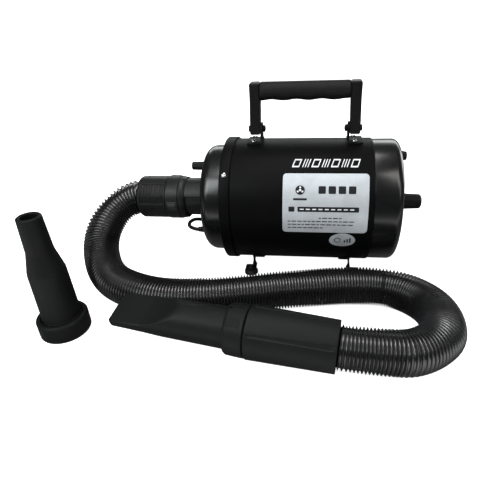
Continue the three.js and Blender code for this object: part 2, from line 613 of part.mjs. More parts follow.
function buildCord() {
  const lie = CORD_R + 0.2;
  const path = [
    [-140, -36, 71], CORD_EXIT, [-171, -36, 71], [-184, -27, 70.5], [-189, -11, 69.5], [-185, 6, 67],
    [-172, 20, 59], [-155, 36, 44], [-135, 56, 23], [-112, 78, 7], [-88, 94, lie], [-60, 103, lie],
    [20, 104, lie], [50, 108, lie], [54, 114, lie], [46, 119, lie], [-30, 120, lie], [-52, 124, lie],
    [-55, 130, lie], [-48, 135, lie], [20, 136, lie], [42, 130, lie + 2], [54, 121, 8],
    [PLUG_AT[0] - 8, PLUG_AT[1], 11], [PLUG_AT[0], PLUG_AT[1], 11],
  ];
  const cord = bar(smoothCurve(path), CORD_R, 64, 5);
  // The moulded sleeve where the cord leaves the dome.
  const relief = turned([[-168, 0], [-168, 4], [-154, 5.4], [-153.4, 5.4], [-153.4, 0]], 12)
    .translate(0, CORD_EXIT[1], CORD_EXIT[2]);
  add(dryer, "power_cord", "rubber", shaped(cord, [relief]));
  const [x, y] = PLUG_AT;
  const body = shaped(box(x + 6, x + 34, y - 11, y + 11, 0.2, 19), [rod(x + 1, x + 8, 6).translate(0, y, 11)]);
  add(dryer, "plug_body", "rubber", body);
  const insert = shaped(box(x + 34 + GAP, x + 36, y - 9, y + 9, 2, 17), [
    rod(x + 35, x + 54, 2.4, 10).translate(0, y - 6, 10),
    rod(x + 35, x + 54, 2.4, 10).translate(0, y + 6, 10),
  ]);
  add(dryer, "plug_pins", "brass", insert);
}

buildBarrel();
buildFrontEnd();
buildRearEnd();
buildSpeedControl();
buildAirPath();
buildHandle();
buildFeet();
buildHose();
buildWand();
buildSpareNozzle();
buildCord();

const middle = new THREE.Box3().setFromObject(dryer, true).getCenter(new THREE.Vector3());
dryer.position.set(-middle.x, -middle.y, 0);

export default dryer;
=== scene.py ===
"""The looks of a barrel-shaped pet dryer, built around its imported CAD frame.

Shapes are written in millimetres about ORIGIN, a point on the floor below the barrel's axis, with the
frame's own axes (+Z up, the barrel along X). They are turned into metres when a piece is made. Angles round
the barrel and the wand start at the front, -Y, and rise through +Z.
"""

import bisect
import json
from math import atan2, ceil, cos, degrees, hypot, pi, radians, sin, tan

import bmesh
import bpy
from mathutils import Matrix, Vector


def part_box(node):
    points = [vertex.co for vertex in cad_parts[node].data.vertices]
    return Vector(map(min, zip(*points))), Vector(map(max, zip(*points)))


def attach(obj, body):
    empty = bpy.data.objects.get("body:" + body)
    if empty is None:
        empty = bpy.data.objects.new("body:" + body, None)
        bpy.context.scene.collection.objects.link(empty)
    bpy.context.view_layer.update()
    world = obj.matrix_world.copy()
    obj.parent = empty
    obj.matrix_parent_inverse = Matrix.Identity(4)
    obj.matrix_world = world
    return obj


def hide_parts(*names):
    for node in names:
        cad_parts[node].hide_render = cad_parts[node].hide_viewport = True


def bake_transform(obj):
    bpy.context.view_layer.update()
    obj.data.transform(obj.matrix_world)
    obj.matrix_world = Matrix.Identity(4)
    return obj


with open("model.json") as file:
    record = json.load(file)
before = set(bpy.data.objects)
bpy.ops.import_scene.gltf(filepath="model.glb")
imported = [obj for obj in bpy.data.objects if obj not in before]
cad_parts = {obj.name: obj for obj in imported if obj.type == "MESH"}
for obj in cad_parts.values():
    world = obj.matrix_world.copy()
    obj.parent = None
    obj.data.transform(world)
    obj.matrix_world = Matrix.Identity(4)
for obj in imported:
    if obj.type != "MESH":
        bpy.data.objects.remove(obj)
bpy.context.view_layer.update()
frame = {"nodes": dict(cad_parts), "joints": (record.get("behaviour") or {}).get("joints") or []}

MM = 0.001
ROOT = "root"


# Places taken from the frame, in millimetres about ORIGIN

FRONT_EDGE = -117  # the barrel's front edge, in x about ORIGIN
shell_low, shell_high = (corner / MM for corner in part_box("barrel_shell"))
ORIGIN = Vector((shell_low.x - FRONT_EDGE, (shell_low.y + shell_high.y) / 2, 0))


def low(node):
    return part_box(node)[0] / MM - ORIGIN


def high(node):
    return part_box(node)[1] / MM - ORIGIN


def centre(node):
    return (low(node) + high(node)) / 2


def joint(name):
    return next(j for j in frame["joints"] if j["name"] == name)


def in_frame(place):
    """A place in millimetres about ORIGIN as metres in the frame."""
    return (Vector(place) + ORIGIN) * MM


def towards(place, direction):
    """A placing whose x axis points along a direction, reached by the shortest turn."""
    turn = Vector((1, 0, 0)).rotation_difference(Vector(direction))
    return Matrix.Translation(place) @ turn.to_matrix().to_4x4()


def standing(place, height=0):
    """A placing whose x axis points up, over a place on the floor."""
    return towards((place.x, place.y, height), (0, 0, 1))


def on_axis(y, z):
    """A placing whose x axis runs through a point, parallel to the barrel's axis."""
    return Matrix.Translation((0, y, z))


AXIS = centre("barrel_shell").z
BARREL_R = high("barrel_shell").y
BARREL_FRONT = low("barrel_shell").x
BARREL_REAR = high("barrel_shell").x
RING_R = high("front_ring").y
RING_FRONT = low("front_ring").x
RING_REAR = high("front_ring").x
DOME_FACE = low("front_dome").x
CAP_R = high("rear_cap").y
CAP_FACE = high("rear_cap").x
FILTER_AXIS = centre("filter_cover").z
BARREL = on_axis(0, AXIS)
FILTER = on_axis(0, FILTER_AXIS)
WAND_START = Vector(joint("nozzle_ring_turn")["pos_m"]) / MM - ORIGIN
WAND_BACK = Vector(joint("nozzle_ring_turn")["axis"]).normalized()
WAND = towards(WAND_START, WAND_BACK)
NOZZLE_ROLL = Matrix.Rotation(radians(12), 4, "X")
CORD_HOLE = (-36, 71)  # where the cord enters the dome, in y and z
CORD_ENTRY = on_axis(*CORD_HOLE)
SPIGOT_R = 30
DOME_WALL = 2.4
GAP = 0.3
SIDES = (("left", -1), ("right", 1))  # the two sides, with the way out along x


# Mesh building

def placed(name, mesh):
    """A new object that holds a mesh made about ORIGIN."""
    made = bpy.data.objects.new(name, mesh)
    made.location = ORIGIN * MM
    bpy.context.scene.collection.objects.link(made)
    return made


def commit(name, verts, faces, at=Matrix(), crease=32):
    """A mesh object from millimetre points in a placing's own axes, with its faces pointing out."""
    mesh = bpy.data.meshes.new(name)
    mesh.from_pydata([(at @ Vector(v)) * MM for v in verts], [], faces)
    shape = bmesh.new()
    shape.from_mesh(mesh)
    bmesh.ops.remove_doubles(shape, verts=shape.verts, dist=1e-7)
    bmesh.ops.recalc_face_normals(shape, faces=shape.faces)
    shape.to_mesh(mesh)
    shape.free()
    made = placed(name, mesh)
    smooth(made, crease)
    return made


def smooth(piece, crease=32):
    for face in piece.data.polygons:
        face.use_smooth = True
    piece.data.set_sharp_from_angle(angle=radians(crease))


def settle(piece, crease=32):
    """Turns a piece's modifiers into plain mesh."""
    evaluated = piece.evaluated_get(bpy.context.evaluated_depsgraph_get())
    mesh = bpy.data.meshes.new_from_object(evaluated)
    piece.modifiers.clear()
    piece.data = mesh
    smooth(piece, crease)
    return piece


def combine(base, tools, operation, crease=32):
    """Cuts the tools from the base, or joins them to it, and clears the tools away."""
    bpy.context.view_layer.update()
    for tool in tools:
        modifier = base.modifiers.new(operation, "BOOLEAN")
        modifier.object = tool
        modifier.operation = operation
        modifier.solver = "EXACT"
    settle(base, crease)
    for tool in tools:
        bpy.data.objects.remove(tool)
    return base


def cut(base, *tools):
    return combine(base, tools, "DIFFERENCE")


def join(base, *tools):
    return combine(base, tools, "UNION")


def bevel(piece, width, segments=3, angle=35):
    """Rounds the edges of a piece by a width in millimetres."""
    modifier = piece.modifiers.new("edges", "BEVEL")
    modifier.width = width * MM
    modifier.segments = segments
    modifier.limit_method = "ANGLE"
    modifier.angle_limit = radians(angle)
    modifier.use_clamp_overlap = True
    return settle(piece, 30)


def ends_on_axis(outline):
    """Whether an outline of a turned piece starts and ends on the axis, which leaves it open."""
    return outline[0][1] == 0 == outline[-1][1]


def rounded(corners, steps=5, closed=None):
    """Outline points from corners (a, b) or (a, b, fillet radius). An open outline's ends stay sharp."""
    if closed is None:
        closed = not ends_on_axis(corners)
    points = []
    count = len(corners)
    for i, corner in enumerate(corners):
        here = Vector(corner[:2])
        fillet = corner[2] if len(corner) > 2 else 0
        if fillet == 0 or (not closed and i in (0, count - 1)):
            points.append(tuple(here))
            continue
        back = (Vector(corners[i - 1][:2]) - here).normalized()
        ahead = (Vector(corners[(i + 1) % count][:2]) - here).normalized()
        half = back.angle(ahead) / 2
        reach = fillet / tan(half)
        middle = here + (back + ahead).normalized() * fillet / sin(half)
        start = here + back * reach - middle
        sweep = start.angle_signed(here + ahead * reach - middle)
        for k in range(steps + 1):
            turned_start = start.copy()
            turned_start.rotate(Matrix.Rotation(-sweep * k / steps, 2))
            points.append(tuple(middle + turned_start))
    return points


def divided(outline, step):
    """The same outline with points at most one step apart."""
    closed = not ends_on_axis(outline)
    points = []
    ahead = [*outline[1:], outline[0]] if closed else outline[1:]
    for (a, b), (c, d) in zip(outline, ahead):
        count = max(1, ceil(hypot(c - a, d - b) / step))
        points += [(a + (c - a) * k / count, b + (d - b) * k / count) for k in range(count)]
    return points if closed else [*points, outline[-1]]


def skin(rings, closed_along=False):
    """Faces over rings of vertex numbers; a ring of one number is a point on the axis."""
    faces = []
    pairs = list(zip(rings, rings[1:]))
    if closed_along:
        pairs.append((rings[-1], rings[0]))
    for first, second in pairs:
        count = max(len(first), len(second))
        if count == 1:
            continue
        for k in range(count):
            n = (k + 1) % count
            corners = [first[k % len(first)], first[n % len(first)],
                       second[n % len(second)], second[k % len(second)]]
            unique = [c for j, c in enumerate(corners) if c not in corners[:j]]
            if len(unique) > 2:
                faces.append(unique)
    return faces


def turned(name, outline, at=BARREL, segments=96, shape=None, crease=32):
    """An outline of (x, radius) points turned about the x axis. It closes on itself, or starts and ends on
    the axis. shape(x, radius, angle) may change the radius on the way round."""
    verts, rings = [], []
    for x, radius in outline:
        count = segments if radius > 0 else 1
        rings.append(list(range(len(verts), len(verts) + count)))
        for k in range(count):
            angle = 2 * pi * k / segments
            r = shape(x, radius, angle) if shape and radius > 0 else radius
            verts.append((x, -r * cos(angle), r * sin(angle)))
    solid_ends = any(radius <= 0 for _, radius in outline)
    return commit(name, verts, skin(rings, closed_along=not solid_ends), at, crease)


def rod(name, x0, x1, radius, at=BARREL, segments=32):
    return turned(name, [(x0, 0), (x0, radius), (x1, radius), (x1, 0)], at, segments)


def pushed(name, outline, start, end, axes="YZX", at=Matrix()):
    """A closed outline pushed from start to end along the third of the named axes."""
    order = ["XYZ".index(letter) for letter in axes]

    def point(a, b, c):
        place = [0, 0, 0]
        for index, value in zip(order, (a, b, c)):
            place[index] = value
        return tuple(place)

    count = len(outline)
    verts = [point(a, b, start) for a, b in outline] + [point(a, b, end) for a, b in outline]
    faces = [list(range(count)), list(range(2 * count - 1, count - 1, -1))]
    faces += [[k, (k + 1) % count, count + (k + 1) % count, count + k] for k in range(count)]
    return commit(name, verts, faces, at)


def block(name, lowest, highest, at=Matrix()):
    (x0, y0, z0), (x1, y1, z1) = lowest, highest
    return pushed(name, [(y0, z0), (y1, z0), (y1, z1), (y0, z1)], x0, x1, at=at)


def bent_sheet(name, x0, x1, inner, outer, start, end, at=BARREL, steps=24):
    """A sheet bent about the x axis between two angles in degrees."""
    angles = [radians(start + (end - start) * k / steps) for k in range(steps + 1)]
    outline = [(-outer * cos(a), outer * sin(a)) for a in angles]
    outline += [(-inner * cos(a), inner * sin(a)) for a in reversed(angles)]
    return pushed(name, outline, x0, x1, at=at)


def smooth_curve(points, step=1.0):
    """Points about one step apart on a centripetal Catmull-Rom curve."""
    knots = [Vector(p) for p in points]
    knots = [2 * knots[0] - knots[1], *knots, 2 * knots[-1] - knots[-2]]
    dense = []
    for a, b, c, d in zip(knots, knots[1:], knots[2:], knots[3:]):
        before, here, after = [max((q - p).length, 1e-6) ** 0.5 for p, q in ((a, b), (b, c), (c, d))]
        leave = ((b - a) / before - (c - a) / (before + here) + (c - b) / here) * here
        arrive = ((c - b) / here - (d - b) / (here + after) + (d - c) / after) * here
        count = max(2, ceil((c - b).length / (step / 3)))
        for k in range(count):
            t = k / count
            dense.append((2 * t**3 - 3 * t**2 + 1) * b + (t**3 - 2 * t**2 + t) * leave
                         + (3 * t**2 - 2 * t**3) * c + (t**3 - t**2) * arrive)
    dense.append(knots[-2])
    return dense


class Path:
    """A curve that gives a point and a cross-section frame at any length along it."""

    def __init__(self, points, step=1.0):
        self.points = smooth_curve(points, step)
        self.lengths = [0.0]
        for a, b in zip(self.points, self.points[1:]):
            self.lengths.append(self.lengths[-1] + (b - a).length)
        self.length = self.lengths[-1]
        tangents = [(b - a).normalized() for a, b in zip(self.points, self.points[1:])]
        tangents.append(tangents[-1])
        side = tangents[0].orthogonal().normalized()
        self.frames = []
        for before, now in zip([tangents[0], *tangents], tangents):
            side = before.rotation_difference(now) @ side
            self.frames.append((now, side.copy()))

    def at(self, length):
        i = min(max(bisect.bisect_right(self.lengths, length) - 1, 0), len(self.points) - 2)
        t = (length - self.lengths[i]) / max(self.lengths[i + 1] - self.lengths[i], 1e-9)
        tangent = self.frames[i][0].lerp(self.frames[i + 1][0], t).normalized()
        side = self.frames[i][1].lerp(self.frames[i + 1][1], t)
        side = (side - tangent * side.dot(tangent)).normalized()
        return self.points[i].lerp(self.points[i + 1], t), side, tangent.cross(side)


def swept(name, path, stations, bore=0, sides=40, crease=32):
    """A round bar, or a tube with a bore, through stations of (length along the path, radius)."""
    verts, rings = [], []

    def ring(length, radius):
        middle, side, other = path.at(length)
        rings.append(list(range(len(verts), len(verts) + sides)))
        for k in range(sides):
            angle = 2 * pi * k / sides
            verts.append(middle + (side * cos(angle) + other * sin(angle)) * radius)

    def tip(length):
        rings.append([len(verts)])
        verts.append(path.at(length)[0])

    if not bore:
        tip(stations[0][0])
    for length, radius in stations:
        ring(length, radius)
    if bore:
        for length, _ in stations[::-4]:
            ring(length, bore)
    else:
        tip(stations[-1][0])
    return commit(name, verts, skin(rings, closed_along=bool(bore)), crease=crease)


def wave(value, start, end, soft=0.02):
    """1 between start and end, 0 outside, with soft shoulders."""
    rise = min(max((value - start) / soft + 0.5, 0), 1)
    fall = min(max((end - value) / soft + 0.5, 0), 1)
    return min(rise * rise * (3 - 2 * rise), fall * fall * (3 - 2 * fall))


def turn_from(angle, middle):
    """The smallest signed turn from a middle angle in degrees to an angle in radians, in degrees."""
    return (degrees(angle) - middle + 180) % 360 - 180


def patch(angle, middle, start, end, soft):
    """1 between two turns in degrees from a middle angle, 0 outside, with soft shoulders."""
    return wave(turn_from(angle, middle), start, end, soft)


# Materials

class Shader:
    """A node tree under construction, with short helpers."""

    def __init__(self, name):
        self.name = name
        self.material = bpy.data.materials.new(name)
        self.material.use_nodes = True
        self.tree = self.material.node_tree
        self.surface = self.tree.nodes["Principled BSDF"]
        self.place = self.node("ShaderNodeTexCoord").outputs["Object"]

    def node(self, kind, **settings):
        made = self.tree.nodes.new(kind)
        for key, value in settings.items():
            setattr(made, key, value)
        return made

    def link(self, source, target):
        self.tree.links.new(source, target)

    def give(self, node, **values):
        """Sets a node's inputs by name, with an underscore for each space."""
        for name, value in values.items():
            node.inputs[name.replace("_", " ")].default_value = value

    def noise(self, size, detail=3, roughness=0.5, stretch=(1, 1, 1)):
        """Noise whose features are about the given size in millimetres."""
        mapping = self.node("ShaderNodeMapping")
        self.give(mapping, Scale=stretch)
        self.link(self.place, mapping.inputs["Vector"])
        made = self.node("ShaderNodeTexNoise")
        self.give(made, Scale=1 / (size * MM), Detail=detail, Roughness=roughness)
        self.link(mapping.outputs["Vector"], made.inputs["Vector"])
        return made.outputs["Fac"]

    def spread(self, source, a, b, lowest=0.3, highest=0.7):
        """A source's usual range mapped onto a to b."""
        made = self.node("ShaderNodeMapRange")
        self.give(made, From_Min=lowest, From_Max=highest, To_Min=a, To_Max=b)
        self.link(source, made.inputs["Value"])
        return made.outputs["Result"]

    def mix(self, factor, a, b):
        """A mix of two colours, each a tuple or a socket."""
        made = self.node("ShaderNodeMix", data_type="RGBA")
        self.link(factor, made.inputs["Factor"])
        for socket, value in (("A", a), ("B", b)):
            target = next(i for i in made.inputs if i.name == socket and i.type == "RGBA")
            if isinstance(value, tuple):
                target.default_value = (*value, 1)
            else:
                self.link(value, target)
        return next(o for o in made.outputs if o.type == "RGBA")

    def math(self, operation, a, b):
        made = self.node("ShaderNodeMath", operation=operation, use_clamp=True)
        for target, value in zip(made.inputs, (a, b)):
            if isinstance(value, (int, float)):
                target.default_value = value
            else:
                self.link(value, target)
        return made.outputs["Value"]

    def bump(self, height, depth):
        """Adds relief of a depth in millimetres over whatever relief there is."""
        made = self.node("ShaderNodeBump")
        self.give(made, Distance=depth * MM)
        self.link(height, made.inputs["Height"])
        normal = self.surface.inputs["Normal"]
        if normal.links:
            self.link(normal.links[0].from_socket, made.inputs["Normal"])
        self.link(made.outputs["Normal"], normal)


def grey(value):
    return (value, value, value)


def finish(name, colour, roughness, metallic=0.0, grain=0.8, grain_depth=0.02, blotch=0.06, edge_wear_and_glint=0.0,
           worn_and_glint_colour=grey(0.06), evenness=0.0, dust_and_sheen=0.0, coat=0.0, specular=0.5, stretch=(1, 1, 1)):
    """A moulded, painted or machined surface: fine grain in its relief, broad changes of gloss and shade,
    paler rubbed edges, which on the hose are a painted glint along the rib crests, patchy where their
    evenness is 0, and a pale dusty film where it faces up, which is partly a painted sheen on the tops."""
    made = Shader(name)
    surface = made.surface
    made.give(surface, Metallic=metallic, Specular_IOR_Level=specular, Coat_Weight=coat, Coat_Roughness=0.2)
    fine = made.noise(grain, detail=2, stretch=stretch)
    broad = made.noise(26, detail=4, roughness=0.6)
    streaks = made.noise(9, detail=3, roughness=0.65)
    darkest, darker, paler = (tuple(c * share for c in colour) for share in (0.7, 0.88, 1.12))
    shade = made.mix(made.spread(broad, 0, 1), darker, paler)
    shade = made.mix(made.spread(fine, 0, 0.35), shade, darkest)
    gloss = made.math("ADD", made.spread(broad, roughness - blotch, roughness + blotch * 0.6),
                      made.spread(streaks, -blotch * 0.4, blotch * 0.4))
    geometry = made.node("ShaderNodeNewGeometry")
    # Paler edges: rubbing on most finishes, and on the hose a painted glint along the rib crests.
    if edge_wear_and_glint:
        edge = made.spread(geometry.outputs["Pointiness"], 0, 1, 0.52, 0.6)
        edge = made.math("MULTIPLY", edge, made.spread(streaks, evenness * edge_wear_and_glint, edge_wear_and_glint, 0.35, 0.65))
        shade = made.mix(edge, shade, worn_and_glint_colour)
    # Pale film where the surface faces up: dusty, and partly a painted sheen along the tops.
    if dust_and_sheen:
        split = made.node("ShaderNodeSeparateXYZ")
        made.link(geometry.outputs["Normal"], split.inputs["Vector"])
        up = made.spread(split.outputs["Z"], 0, 1, 0.5, 1.0)
        specks = made.spread(made.noise(1.2, detail=4, roughness=0.7), 0, dust_and_sheen, 0.35, 0.7)
        dust_and_sheen_mask = made.math("MULTIPLY", up, specks)
        shade = made.mix(dust_and_sheen_mask, shade, (0.42, 0.42, 0.41))
        gloss = made.math("ADD", gloss, made.math("MULTIPLY", dust_and_sheen_mask, 0.6))
    made.link(shade, surface.inputs["Base Color"])
    made.link(gloss, surface.inputs["Roughness"])
    if grain_depth:
        made.bump(fine, grain_depth)
    return made


def build_materials():
    """One finish for each kind of surface, named after the record's material slots."""
    made = [
        finish("powder_coat", (0.002, 0.0021, 0.0023), 0.48, grain=1.1, grain_depth=0.025, blotch=0.04,
               edge_wear_and_glint=0.25, dust_and_sheen=0.003, specular=0.07),
        finish("gloss_black", (0.0035, 0.0038, 0.0041), 0.24, grain=5, grain_depth=0.012, blotch=0.03,
               coat=0.25, edge_wear_and_glint=0.15, dust_and_sheen=0.008),
        finish("black_plastic", (0.0045, 0.0045, 0.0049), 0.46, grain=0.6, grain_depth=0.02, blotch=0.05,
               edge_wear_and_glint=0.2, dust_and_sheen=0.01, specular=0.2),
        finish("charcoal_plastic", (0.0055, 0.006, 0.0059), 0.5, grain=0.7, grain_depth=0.025,
               blotch=0.04, edge_wear_and_glint=0.3, worn_and_glint_colour=grey(0.07), dust_and_sheen=0.008, specular=0.16),
        # The hose's paler edge colour is a painted glint on its rib crests, kept even along the hose.
        finish("hose_plastic", (0.004, 0.004, 0.0043), 0.26, grain=2.5, grain_depth=0.006, blotch=0.03,
               edge_wear_and_glint=0.6, worn_and_glint_colour=(0.03, 0.032, 0.033), evenness=0.6, specular=1, coat=0.5),
        finish("rubber", grey(0.006), 0.6, grain=0.5, grain_depth=0.03, edge_wear_and_glint=0.2, dust_and_sheen=0.012, specular=0.2),
        finish("steel", (0.62, 0.625, 0.63), 0.24, metallic=1, grain=0.7, grain_depth=0.01,
               blotch=0.08, stretch=(1, 6, 6)),
        finish("aluminium", grey(0.55), 0.36, metallic=1, grain=0.6, grain_depth=0.015, blotch=0.08,
               stretch=(1, 8, 8)),
        finish("foam", grey(0.05), 0.95, grain=1.6, grain_depth=0.6, blotch=0.03),
        finish("mica", (0.45, 0.36, 0.20), 0.6, grain=1.5, grain_depth=0.05, blotch=0.12),
        finish("circuit_board", (0.015, 0.10, 0.045), 0.4, grain=1.5, grain_depth=0.04),
        finish("brass", (0.72, 0.53, 0.22), 0.28, metallic=1, grain=0.8, grain_depth=0.01, stretch=(1, 6, 6)),
    ]
    return {shader.name: shader.material for shader in made}


MATERIALS = build_materials()
# A darker copy of the charcoal finish: painted shade, so that the spigot, collar and cuff read as shaded.
SHADED_CHARCOAL = finish("shaded_charcoal", (0.0075, 0.0078, 0.0079), 0.42, grain=0.7, grain_depth=0.02,
                       blotch=0.04, edge_wear_and_glint=0.3, dust_and_sheen=0.01, specular=0.32).material
LABEL_FILM = finish("label_film", (0.5, 0.535, 0.565), 0.42, metallic=0.35, grain=0.5, grain_depth=0.006,
                    blotch=0.07, stretch=(0.15, 1, 1)).material
LABEL_INK = finish("label_ink", (0.01, 0.011, 0.014), 0.6, grain=0.6, grain_depth=0.004,
                   specular=0.2).material
LABEL_PALE = finish("label_pale", (0.72, 0.73, 0.75), 0.38, grain=0.6, grain_depth=0.004,
                    blotch=0.05).material


def dress(piece, slot, body=ROOT, stands_for=(), material=None):
    """Gives a piece its finish and its place on a body."""
    piece.data.materials.clear()
    piece.data.materials.append(material or MATERIALS[slot])
    if body:
        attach(piece, body)
    if stands_for:
        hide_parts(*stands_for)
    return piece


def skinned(node, outline, slot, body=ROOT, at=BARREL, segments=128, shape=None, crease=32, material=None):
    """A turned piece that stands for one CAD node."""
    made = turned(f"{node}_skin", outline, at, segments, shape, crease)
    return dress(made, slot, body, [node], material)


# Screws

def angle_of(node):
    """A node's angle round the barrel, in degrees."""
    middle = centre(node)
    return degrees(atan2(middle.z - AXIS, -middle.y))


def radial(x, angle, radius=0.0):
    """A placing on the barrel whose x axis points out at an angle in degrees."""
    a = radians(angle)
    out = Vector((0, -cos(a), sin(a)))
    return towards(Vector((x, 0, AXIS)) + out * radius, out)


def cross_screw(name, at, radius, height, body=ROOT, stands_for=(), shank=4.5):
    """A pan-head screw with a cross recess, seated at the placing's origin with its head along x."""
    outline = rounded([
        (-shank, 0), (-shank, 1.7), (0, 1.7), (0, radius, 0.25), (height * 0.45, radius * 0.97, 0.25),
        (height * 0.8, radius * 0.72, 0.25), (height * 0.97, radius * 0.38), (height, 0),
    ])
    made = turned(name, outline, at, 36)
    arm, half, deep = radius * 0.62, radius * 0.13, height * 0.75
    cut(made, block("cut_across", (height - deep, -arm, -half), (height + 1, arm, half), at),
        block("cut_along", (height - deep, -half, -arm), (height + 1, half, arm), at))
    return dress(made, "steel", body, stands_for)


# Casing

def build_barrel():
    wall = 1.8
    lip = 84
    inner = BARREL_R - wall
    shell = rounded([
        (BARREL_FRONT, lip), (BARREL_FRONT, BARREL_R, 0.8), (BARREL_REAR, BARREL_R, 0.9),
        (BARREL_REAR, inner, 0.5), (BARREL_FRONT + wall, inner), (BARREL_FRONT + wall, lip),
    ])
    dress(turned("barrel_skin", shell, segments=180), "powder_coat", stands_for=["barrel_shell"])


def build_front_ring():
    wall = 1.6
    opening = 80.3
    over = BARREL_R + GAP
    ring = rounded([
        (RING_FRONT, opening, 0.4), (RING_FRONT, RING_R, 1.9), (RING_REAR, RING_R, 0.8),
        (RING_REAR, over), (RING_FRONT + wall, over), (RING_FRONT + wall, opening),
    ])
    skinned("front_ring", ring, "powder_coat", segments=180)
    for number in (1, 2, 3):
        node = f"ring_screw_{number}"
        seat = radial((RING_FRONT + RING_REAR) / 2, angle_of(node), RING_R + 0.1)
        cross_screw(f"ring_screw_head_{number}", seat, 3.8, 2.0, stands_for=[node])


def build_front_dome():
    """The glossy dome round the outlet, and the gasket behind its rim."""
    rim_front, rim_back = -119.5, -118.3
    opening = SPIGOT_R + 0.6
    side_r = 79.5
    inner_r = side_r - DOME_WALL
    shoulder = 15.2
    dome = rounded([
        (DOME_FACE, opening, 0.4), (DOME_FACE, side_r - 0.4, shoulder), (rim_front, side_r),
        (rim_front, 79.9), (rim_back, 79.9), (rim_back, inner_r),
        (DOME_FACE + DOME_WALL, inner_r, shoulder - DOME_WALL), (DOME_FACE + DOME_WALL, opening),
    ], steps=14)
    shell = turned("front_dome_skin", dome, segments=180)
    knob = centre("speed_knob")
    through = (DOME_FACE - 12, DOME_FACE + 8)
    cut(shell, rod("cut_knob", *through, 3.7, on_axis(knob.y, knob.z)),
        rod("cut_cord", *through, 4.1, CORD_ENTRY))
    dress(shell, "gloss_black", stands_for=["front_dome"])
    start, end = rim_back + 0.2, BARREL_FRONT - GAP
    skinned("front_gasket", [(start, 79.2), (start, 87), (end, 87), (end, 79.2)], "rubber")


def build_outlet_spigot():
    end = low("outlet_spigot").x
    seat = DOME_FACE + DOME_WALL
    flange = 38
    bore = 26.5

    def ledge(x, r, angle):
        """The lower half is stepped in along a ledge at each side."""
        below = patch(angle, 270, -112, 112, 1.2)
        return r - 2.4 * below if r > 28 and x < DOME_FACE - 2 else r

    spigot = divided(rounded([
        (end, bore), (end, SPIGOT_R - 0.2, 0.8), (DOME_FACE - 1.5, SPIGOT_R),
        (DOME_FACE - 1.2, SPIGOT_R + 1.1, 0.4), (DOME_FACE + 0.4, SPIGOT_R + 1.1), (seat + GAP, SPIGOT_R),
        (seat + GAP, flange), (seat + 2.3, flange), (seat + 2.3, bore),
    ]), 6)
    # Painted shade: the spigot takes the darker copy of the charcoal finish.
    skinned("outlet_spigot", spigot, "charcoal_plastic", segments=240, shape=ledge, material=SHADED_CHARCOAL)


def build_rear_cap():
    """The cap with its two button holes, and the bar across it that carries the filter's stud."""
    wall = 2
    opening = 50
    step = BARREL_REAR + GAP
    neck = 86.5
    outline = rounded([
        (68, neck - wall), (68, neck), (step, neck), (step, CAP_R, 0.7), (CAP_FACE, CAP_R, 10),
        (CAP_FACE, opening, 0.6), (CAP_FACE - wall, opening), (CAP_FACE - wall, CAP_R - wall, 8),
        (90, CAP_R - wall), (88, neck - wall),
    ], steps=12)
    cap = turned("rear_cap_skin", outline, segments=180)
    holes = [rod(f"cut_{name}", CAP_FACE - 12, CAP_FACE + 5, 8.3, on_axis(0, centre(f"{name}_button").z))
             for name in ("motor", "heat")]
    cut(cap, *holes)
    dress(cap, "gloss_black", stands_for=["rear_cap"])
    bar = block("filter_spider", (99, -CAP_R + 2.3, AXIS - 5), (103, CAP_R - 2.3, AXIS + 5))
    join(bar, rod("spider_hub", 98.9, 103.1, 9, FILTER))
    cut(bar, rod("spider_bore", 90, 110, 3.3, FILTER))
    dress(bevel(bar, 0.6), "powder_coat")


def build_filter():
    """A dished cover with six curved slots, and the fluted knob that holds it."""
    face = CAP_FACE + GAP
    cover = turned("filter_cover_skin", rounded([
        (face, 0), (face, 54), (face + 1.3, 54, 1.0), (face + 2.3, 50, 2), (face + 2.3, 31, 4),
        (face + 8.2, 14.5, 2), (face + 9.7, 13, 0.6), (face + 9.7, 0),
    ]), FILTER, 128)
    behind, before = CAP_FACE - 1, CAP_FACE + 6
    slots = []
    for start in range(65, 425, 60):
        slot = bent_sheet(f"cut_slot_{start}", behind, before, 35.6, 44.4, start, start + 50, FILTER)
        slots.append(bevel(slot, 3.2, 4))
    cut(cover, *slots, rod("cut_bore", behind, CAP_FACE + 12, 3.3, FILTER),
        rod("cut_hollow", behind, before, 10, FILTER))
    dress(cover, "black_plastic", stands_for=["filter_cover"])

    start, end = low("filter_knob").x, high("filter_knob").x

    def flute(x, r, angle):
        grip = wave(x, start + 3, end - 5, 2)
        ridge = abs(sin(angle * 9))
        return r - grip * 0.75 * (1 - ridge) ** 2 if r > 7 else r

    knob = rounded([
        (end - 4, 0), (end - 4, 3.3), (start, 3.3), (start, 11.6, 0.7), (start + 2.4, 11.6, 0.5),
        (end - 2.2, 10.6, 2.4), (end, 7.6, 1.6), (end, 0),
    ])
    skinned("filter_knob", divided(knob, 3), "black_plastic", "filter_nut", FILTER, 180, flute)


def build_push_buttons():
    """A rubber boot over each switch, in a bezel that leaves it room to travel."""
    back, front = CAP_FACE - 1.5, CAP_FACE + 1.5
    for name in ("motor", "heat"):
        node = f"{name}_button"
        at = on_axis(0, centre(node).z)
        seat = high(node).x - 7
        boot = rounded([
            (107.5, 0), (107.5, 5.6), (seat, 5.6), (seat, 7.25, 0.4), (seat + 1.8, 7.25, 0.7),
            (seat + 2.3, 6.5, 0.5), (seat + 6.2, 6.0, 1.2), (seat + 7, 4.4, 1.8), (seat + 6.6, 0),
        ])
        dress(turned(f"{node}_boot", boot, at, 64), "rubber", f"{name}_push", [node])
        bezel = rounded([(back, 7.6), (front, 7.6, 0.3), (front, 9.4, 0.8), (CAP_FACE + 0.2, 9.9),
                         (CAP_FACE + 0.2, 8.1), (back, 8.1)])
        dress(turned(f"{node}_bezel", bezel, at, 64), "black_plastic")


